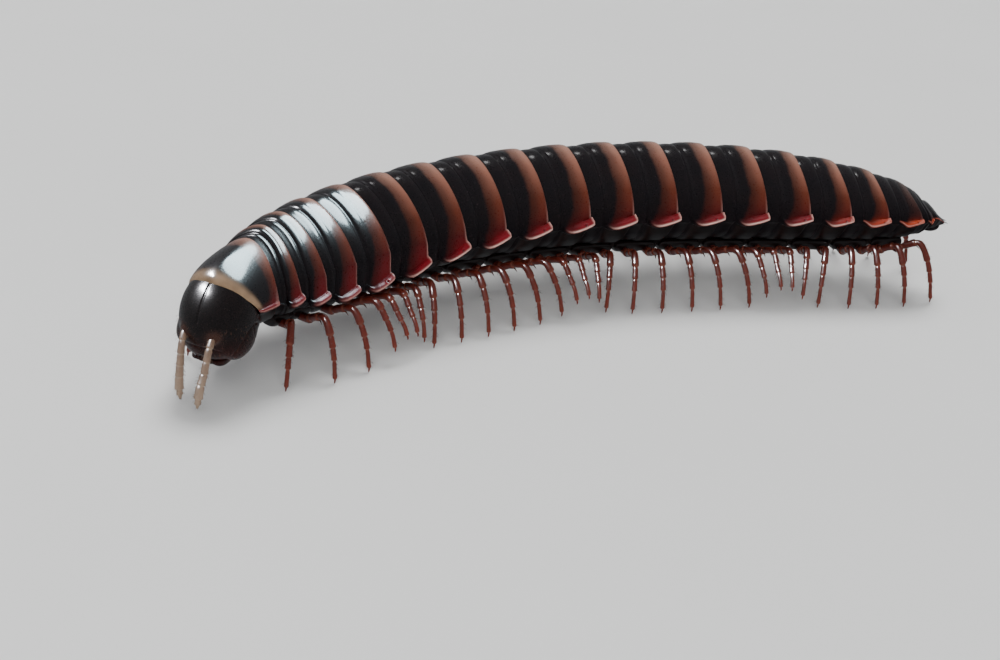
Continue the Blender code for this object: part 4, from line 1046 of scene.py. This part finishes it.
def antenna_shapes(side):
    """A feeler of seven joints, each swelling to its end, with four small cones at the tip and fine hairs."""
    curve = evenly(antenna_path(side))
    across = np.array(head_frame().to_3x3() @ Vector((0, 1, 0)))
    shapes = [limb_shape(curve, ANTENNA_JOINTS, across, sides=20)]
    rng = np.random.default_rng(70 + side)
    shares = ANTENNA_HAIR_SPAN[0] + ANTENNA_HAIR_SPAN[1] * rng.random(ANTENNA_HAIRS)
    radius, _, _ = jointed_radius(shares, ANTENNA_JOINTS)
    ahead = ahead_on(curve, shares, 0.02)
    out = rng.normal(size=(ANTENNA_HAIRS, 3))
    out = unit(out - (out * ahead).sum(1, keepdims=True) * ahead)
    lengths = random_lengths(rng, ANTENNA_HAIR_LENGTHS, ANTENNA_HAIRS)
    roots = curve(shares) + out * radius[:, None] * 0.95
    shapes.append(hair_shape(roots, out + 0.7 * ahead, lengths, ANTENNA_HAIR_RADIUS))
    tip = curve(np.array([0.985]))
    tip_way = unit(curve(np.array([1.0])) - curve(np.array([0.96])))
    turn = np.array([[1, 0, 0], [-1, 0, 0], [0, 1, 0], [0, -1, 0]]) * TIP_CONE_SPACING
    shapes.append(hair_shape(tip + turn, np.repeat(tip_way, 4, 0), np.full(4, TIP_CONE_LENGTH), TIP_CONE_RADIUS))
    return shapes


def telson_shapes():
    """The tail piece: a flattened cone drawn out to a blunt point, two rimmed valves and a small scale below."""
    start = JOINTS[-1] + GAP / 2
    extra, size, drop = (column[:, None] for column in np.array(TELSON_ROWS).T)
    s = np.full(len(TELSON_ROWS), start)
    marks = half_marks(0 * s + 0.97, 0 * s + 1.0, 0 * s, 0 * s, 0 * s)
    base = swept_outlines(s, marks, 0 * s + TAIL_LEAN, 0 * s, 0 * s, 0 * s)
    middle = np.array([start, 0, KEEL_LINE_HEIGHT])
    scaled = middle + (base - middle) * size[..., None]
    scaled[..., 0] += extra * MM
    scaled[..., 2] -= drop * TELSON_DROP
    points, rows_at, marks_at, _ = ring_surface(scaled)
    plate = 1.1 + 0.90 * bell(marks_at, RIM_MARK, 3.6)[None] * rise_between(rows_at, 2, 4)[:, None]
    shapes = [closed_grid(points, tail=1.0, **shell_values(plate, marks_at, 0.3))]
    matrix = frame_at(start)
    origin, right = np.array(matrix)[:3, 3], np.array(matrix)[:3, 1]
    for way in (LEFT, RIGHT):
        place = np.array(VALVE_PLACE) * (1, way, 1) * MM
        valve = superellipsoid(place, np.array(VALVE_HALF_SIZE) * MM, matrix, 2.1)
        inner = 1 - rise_between(np.abs((valve - origin) @ right), 0.04 * MM, 0.16 * MM)
        shapes.append(closed_grid(valve, plate=1.1 + 0.7 * inner, round=0.8))
    scale = superellipsoid(np.array(TAIL_SCALE_PLACE) * MM, np.array(TAIL_SCALE_HALF_SIZE) * MM, matrix)
    shapes.append(closed_grid(scale, plate=1.1, round=1.2))
    tip = points[-6:-2, :: points.shape[1] // 6].reshape(-1, 3)
    way = np.array(matrix.to_3x3() @ Vector((1.0, 0.0, -0.25))) + 0.6 * (tip - tip.mean(0)) / MM
    shapes.append(hair_shape(tip, way, np.full(len(tip), TAIL_HAIR_LENGTH), ANTENNA_HAIR_RADIUS))
    return shapes


def node(tree, kind, inputs=(), **settings):
    """A shader node with its settings; inputs maps a socket to a value or to another node's output."""
    made = tree.nodes.new("ShaderNode" + kind)
    for name, value in settings.items():
        setattr(made, name, value)
    for socket, value in dict(inputs).items():
        if isinstance(value, bpy.types.NodeSocket):
            tree.links.new(value, made.inputs[socket])
        else:
            made.inputs[socket].default_value = value
    return made


def mixed(tree, share, first, second):
    """The colour between two colours."""
    return node(tree, "Mix", {0: share, 6: first, 7: second}, data_type="RGBA").outputs[2]


def maths(tree, how, first, second=0.5):
    """The result of a sum, product or other operation on two numbers."""
    return node(tree, "Math", {0: first, 1: second}, operation=how).outputs[0]


def step_up(tree, value, low, high):
    """A smooth step of a value."""
    inputs = {"Value": value, "From Min": low, "From Max": high}
    return node(tree, "MapRange", inputs, interpolation_type="SMOOTHSTEP").outputs[0]


def attribute(tree, name):
    """A number stored on the piece's points."""
    return node(tree, "Attribute", attribute_name=name).outputs["Fac"]


def stops(tree, value, *colours):
    """A colour ramp through (place, colour) stops."""
    ramp = node(tree, "ValToRGB", {0: value})
    marks = ramp.color_ramp.elements
    while len(marks) < len(colours):
        marks.new(0.5)
    for mark, (place, colour) in zip(marks, colours):
        mark.position = place
    for mark, (place, colour) in zip(marks, colours):
        mark.color = (*colour, 1)
    return ramp.outputs[0]


def grain_group():
    """Shared grain of the cuticle: fine pits and long soft waves, as a shade, a gloss change and a height."""
    tree = bpy.data.node_groups.new("cuticle_grain", "ShaderNodeTree")
    tree.interface.new_socket("Scale", in_out="INPUT", socket_type="NodeSocketFloat").default_value = 1.0
    for name in ("Shade", "Gloss", "Height"):
        tree.interface.new_socket(name, in_out="OUTPUT", socket_type="NodeSocketFloat")
    given = tree.nodes.new("NodeGroupInput").outputs[0]
    out = tree.nodes.new("NodeGroupOutput")
    place = node(tree, "TexCoord").outputs["Object"]
    fine_scale, wide_scale, pit_scale = (maths(tree, "MULTIPLY", given, scale) for scale in GRAIN_SCALES)
    fine = node(tree, "TexNoise", {"Vector": place, "Scale": fine_scale, "Detail": 3.0, "Roughness": 0.6}).outputs[0]
    wide = node(tree, "TexNoise", {"Vector": place, "Scale": wide_scale, "Detail": 2.0}).outputs[0]
    pits = node(tree, "TexVoronoi", {"Vector": place, "Scale": pit_scale}, feature="SMOOTH_F1").outputs["Distance"]
    height = maths(tree, "ADD", maths(tree, "MULTIPLY", fine, 0.30), maths(tree, "MULTIPLY", pits, 0.40))
    height = maths(tree, "ADD", height, maths(tree, "MULTIPLY", wide, 0.8))
    tree.links.new(wide, out.inputs["Shade"])
    tree.links.new(fine, out.inputs["Gloss"])
    tree.links.new(height, out.inputs["Height"])
    return tree


def placed_grain(tree, grain_tree, scale):
    """The shared grain in a material, at a scale of its own."""
    grain = tree.nodes.new("ShaderNodeGroup")
    grain.node_tree = grain_tree
    grain.inputs["Scale"].default_value = scale
    return grain


def new_material(name, coat, specular):
    """A material with its shader; its clear coat and mirror share are set on the shader's own sockets."""
    made = bpy.data.materials.new(name)
    made.use_nodes = True
    shader = made.node_tree.nodes["Principled BSDF"]
    shader.inputs["Coat Weight"].default_value = coat
    shader.inputs["Coat Roughness"].default_value = COAT_ROUGHNESS
    shader.inputs["Specular IOR Level"].default_value = specular
    return made, made.node_tree, shader


def finish_surface(tree, shader, grain, colour, roughness, strength, depth, added_roughness=0.0):
    """Links colour, gloss and grain to the shader; the roughness runs between two values, plus what is added."""
    rough = node(tree, "MapRange", {"Value": grain.outputs["Gloss"], "To Min": roughness[0], "To Max": roughness[1]})
    bump = node(tree, "Bump", {"Strength": strength, "Distance": depth, "Height": grain.outputs["Height"]})
    tree.links.new(colour, shader.inputs["Base Color"])
    tree.links.new(maths(tree, "ADD", rough.outputs[0], added_roughness), shader.inputs["Roughness"])
    tree.links.new(bump.outputs[0], shader.inputs["Normal"])


def shell_material(grain_tree):
    """Black-brown plates, each with a red-brown rear band that is tan on the back, partly a painted sheen, pale keel
    rims brightened into a painted highlight, and a painted highlight up the rear edge.
    """
    made, tree, shader = new_material("banded_shell", 0.5, 0.2)
    grain = placed_grain(tree, grain_tree, 1.0)
    plate, round_, rim, hem, pore, tail = (attribute(tree, name) for name in SHELL_VALUES)
    dark = mixed(tree, grain.outputs["Shade"], *DARK_COLOURS)
    half = maths(tree, "MULTIPLY", round_, 0.5)
    # The band's colour round the ring; its tan on the back is partly a painted sheen.
    band = stops(tree, half, *BAND_COLOURS_AND_SHEEN)
    low = maths(tree, "MULTIPLY", step_up(tree, round_, 0.60, 0.86), step_up(tree, round_, 1.16, 1.02))
    band = mixed(tree, maths(tree, "MULTIPLY", low, tail), band, TAIL_COLOUR)
    wobble = maths(tree, "MULTIPLY", maths(tree, "SUBTRACT", grain.outputs["Shade"], 0.5), 0.16)
    lead = maths(tree, "MULTIPLY", step_up(tree, round_, 0.4, 1.0), 0.30)
    edge = maths(tree, "ADD", maths(tree, "ADD", plate, wobble), lead)
    # The band darkens towards its front, partly as its own gradient and partly painted, so that its rear half stands
    # out as a painted highlight.
    deep = mixed(tree, 0.65, band, BAND_EDGE_COLOUR)
    band = mixed(tree, step_up(tree, edge, 1.50, 1.92), deep, band)
    back = maths(tree, "MULTIPLY", step_up(tree, round_, 0.85, 0.50), step_up(tree, tail, 0.8, 1.0))
    band = mixed(tree, maths(tree, "MULTIPLY", back, 0.8), band, dark)
    colour = mixed(tree, step_up(tree, edge, 1.38, 1.54), dark, band)
    faded = maths(tree, "MULTIPLY", hem, maths(tree, "ADD", grain.outputs["Shade"], 0.35))
    colour = mixed(tree, faded, colour, HEM_COLOUR)
    # The pale keel rims, brightened into a painted highlight, and the painted highlight up the rear edges.
    colour = mixed(tree, rim, colour, PALE_RIM_AND_HIGHLIGHT_COLOUR)
    colour = mixed(tree, pore, colour, PORE_COLOUR)
    colour = mixed(tree, step_up(tree, plate, 2.42, 2.48), colour, WALL_COLOUR)
    matt = maths(tree, "MULTIPLY", step_up(tree, round_, 0.84, 0.96), 0.10)
    finish_surface(tree, shader, grain, colour, (0.22, 0.36), 0.35, 0.02 * MM, matt)
    glossy = maths(tree, "MULTIPLY", maths(tree, "SUBTRACT", 1.0, step_up(tree, round_, 0.35, 0.8)), 0.5)
    tree.links.new(glossy, shader.inputs["Coat Weight"])
    return made


def simple_material(name, grain_tree, low, high, roughness, coat, specular, value, *tints):
    """A cuticle whose colour runs from low to high with a stored value, then tinted by other values."""
    made, tree, shader = new_material(name, coat, specular)
    grain = placed_grain(tree, grain_tree, 1.4)
    colour = mixed(tree, attribute(tree, value), low, high)
    colour = mixed(tree, maths(tree, "MULTIPLY", grain.outputs["Shade"], 0.35), colour, GRAIN_COLOUR)
    for label, shade, amount in tints:
        colour = mixed(tree, maths(tree, "MULTIPLY", attribute(tree, label), amount), colour, shade)
    finish_surface(tree, shader, grain, colour, roughness, 0.3, 0.015 * MM)
    return made


def floor_material():
    """A pale matt floor with a trace of unevenness."""
    made = bpy.data.materials.new("pale_floor")
    made.use_nodes = True
    tree = made.node_tree
    shader = tree.nodes["Principled BSDF"]
    place = node(tree, "TexCoord").outputs["Object"]
    cloud = node(tree, "TexNoise", {"Vector": place, "Scale": 60.0, "Detail": 4.0}).outputs[0]
    colour = mixed(tree, cloud, *FLOOR_COLOURS)
    tree.links.new(colour, shader.inputs["Base Color"])
    shader.inputs["Roughness"].default_value = 0.6
    return made


def add_camera():
    """The camera, looking at the target from its azimuth and elevation, then rolled about its own axis."""
    az, el, roll = CAMERA_AZIMUTH, CAMERA_ELEVATION, CAMERA_ROLL
    ahead = np.array([math.sin(az) * math.cos(el), math.cos(az) * math.cos(el), -math.sin(el)])
    level = np.array([math.cos(az), -math.sin(az), 0.0])
    upright = np.cross(level, ahead)
    right = level * math.cos(roll) + upright * math.sin(roll)
    up = -level * math.sin(roll) + upright * math.cos(roll)
    place = CAMERA_TARGET - ahead * CAMERA_DISTANCE
    lens = bpy.data.cameras.new("camera")
    lens.lens, lens.sensor_width = CAMERA_LENS, SENSOR_WIDTH
    lens.shift_x, lens.shift_y = CAMERA_SHIFT
    lens.clip_start, lens.clip_end = 1 * MM, 10.0
    camera = bpy.data.objects.new("camera", lens)
    bpy.context.scene.collection.objects.link(camera)
    camera.matrix_world = Matrix(np.vstack([np.column_stack([right, up, -ahead, place]), [0, 0, 0, 1]]).tolist())
    bpy.context.scene.camera = camera


def add_light(name, place, size, power, colour, target, length_way):
    """An oval light that shows only in the gloss; it faces a target, its first side along a direction."""
    lamp = bpy.data.lights.new(name, "AREA")
    lamp.shape = "ELLIPSE"
    lamp.size, lamp.size_y = size
    lamp.energy = power
    lamp.color = colour
    holder = bpy.data.objects.new(name, lamp)
    bpy.context.scene.collection.objects.link(holder)
    back = (Vector(place) - Vector(target)).normalized()
    across = (Vector(length_way) - back * back.dot(Vector(length_way))).normalized()
    turn = Matrix((across, back.cross(across), back)).transposed().to_4x4()
    holder.matrix_world = Matrix.Translation(Vector(place)) @ turn
    holder.visible_diffuse = False
    return holder


def shine_on(holder, starts):
    """Limits a light to the pieces whose names start so."""
    lit = bpy.data.collections.new(holder.name + "_pieces")
    for piece in bpy.data.objects:
        if piece.name.startswith(starts):
            lit.objects.link(piece)
    holder.light_linking.receiver_collection = lit


def add_sun(name, way, power, spread_degrees, in_gloss):
    """A wide soft light from far away, shining along a direction; it need not show in the gloss."""
    lamp = bpy.data.lights.new(name, "SUN")
    lamp.energy = power
    lamp.angle = math.radians(spread_degrees)
    holder = bpy.data.objects.new(name, lamp)
    bpy.context.scene.collection.objects.link(holder)
    holder.rotation_euler = Vector(way).to_track_quat("-Z", "Y").to_euler()
    holder.visible_glossy = in_gloss


def add_floor():
    """A round floor, flat far past the model; its edge rises in a quarter circle and a wall as the backdrop."""
    out = np.concatenate([np.linspace(0.02, 1, FLOOR_ROWS) * FLOOR_RADIUS, np.full(FLOOR_ROWS, FLOOR_RADIUS)])
    bend = np.concatenate([np.zeros(FLOOR_ROWS), np.linspace(0.04, 1, FLOOR_ROWS)])[:, None] * math.pi / 2
    turn = full_turn(FLOOR_SIDES)[None]
    reach = out[:, None] + BACKDROP_BEND * np.sin(bend)
    rise = BACKDROP_BEND * (1 - np.cos(bend))
    x, y = reach * np.cos(turn), reach * np.sin(turn)
    points = np.stack([x, y, rise + 0 * x], -1)
    points = np.concatenate([points, points[-1:] + (0, 0, BACKDROP_WALL)])
    mesh = bpy.data.meshes.new("floor")
    index = np.arange(points[..., 0].size).reshape(points.shape[:2])
    step = np.roll(index, -1, 1)
    quads = np.stack([index[:-1], index[1:], step[1:], step[:-1]], -1).reshape(-1, 4)
    middle = index.size
    fan = np.stack([np.full(index.shape[1], middle), index[0], step[0]], -1)
    mesh.from_pydata(points.reshape(-1, 3).tolist() + [[0, 0, 0]], [], quads.tolist() + fan.tolist())
    mesh.shade_smooth()
    mesh.materials.append(floor_material())
    floor = bpy.data.objects.new("floor", mesh)
    floor.visible_shadow = False
    floor.visible_glossy = False
    bpy.context.scene.collection.objects.link(floor)


def add_studio():
    """Camera, floor, a pale surround, wide suns for the light and ovals for the gloss."""
    add_camera()
    add_floor()
    world = bpy.data.worlds.new("studio")
    bpy.context.scene.world = world
    world.use_nodes = True
    surround = world.node_tree.nodes["Background"]
    surround.inputs[0].default_value = SURROUND_COLOUR
    surround.inputs[1].default_value = SURROUND_POWER
    for sun in SUNS:
        add_sun(*sun)
    for *light, starts in GLOSS_LIGHTS:
        holder = add_light(*light)
        if starts:
            shine_on(holder, starts)


def build():
    """Makes every piece over its nodes."""
    grain = grain_group()
    shell = shell_material(grain)
    head, legs, feelers, skin = (simple_material(name, grain, *rest) for name, *rest in SIMPLE_FINISHES)
    add_piece("head_capsule", head_shapes(), head, ["head"])
    add_piece("mouth_plates", mouth_plate_shapes(), head, ["mouth_plate"])
    for side, label in SIDES:
        add_piece(f"feeler_{label}", antenna_shapes(side), feelers, [f"antenna_{label}"])
    add_piece("collum_plate", [collum_shape()], shell, ["collum"])
    for ring in range(2, RING_COUNT + 1):
        add_piece(f"ring_plate_{ring:02d}", [ring_shape(ring)], shell, [f"ring_{ring:02d}"])
    add_piece("tail_piece", telson_shapes(), shell, ["telson"])
    add_piece("joint_skin", joint_skin_shapes(), skin)
    roots = leg_roots()
    for ring in range(FIRST_LEG_RING, LAST_LEG_RING + 1):
        for side, label in SIDES:
            shapes = leg_shapes(ring, side, roots)
            add_piece(f"leg_pair_{ring:02d}_{label}", shapes, legs, [f"legs_{ring:02d}_{label}"])


build()
add_studio()
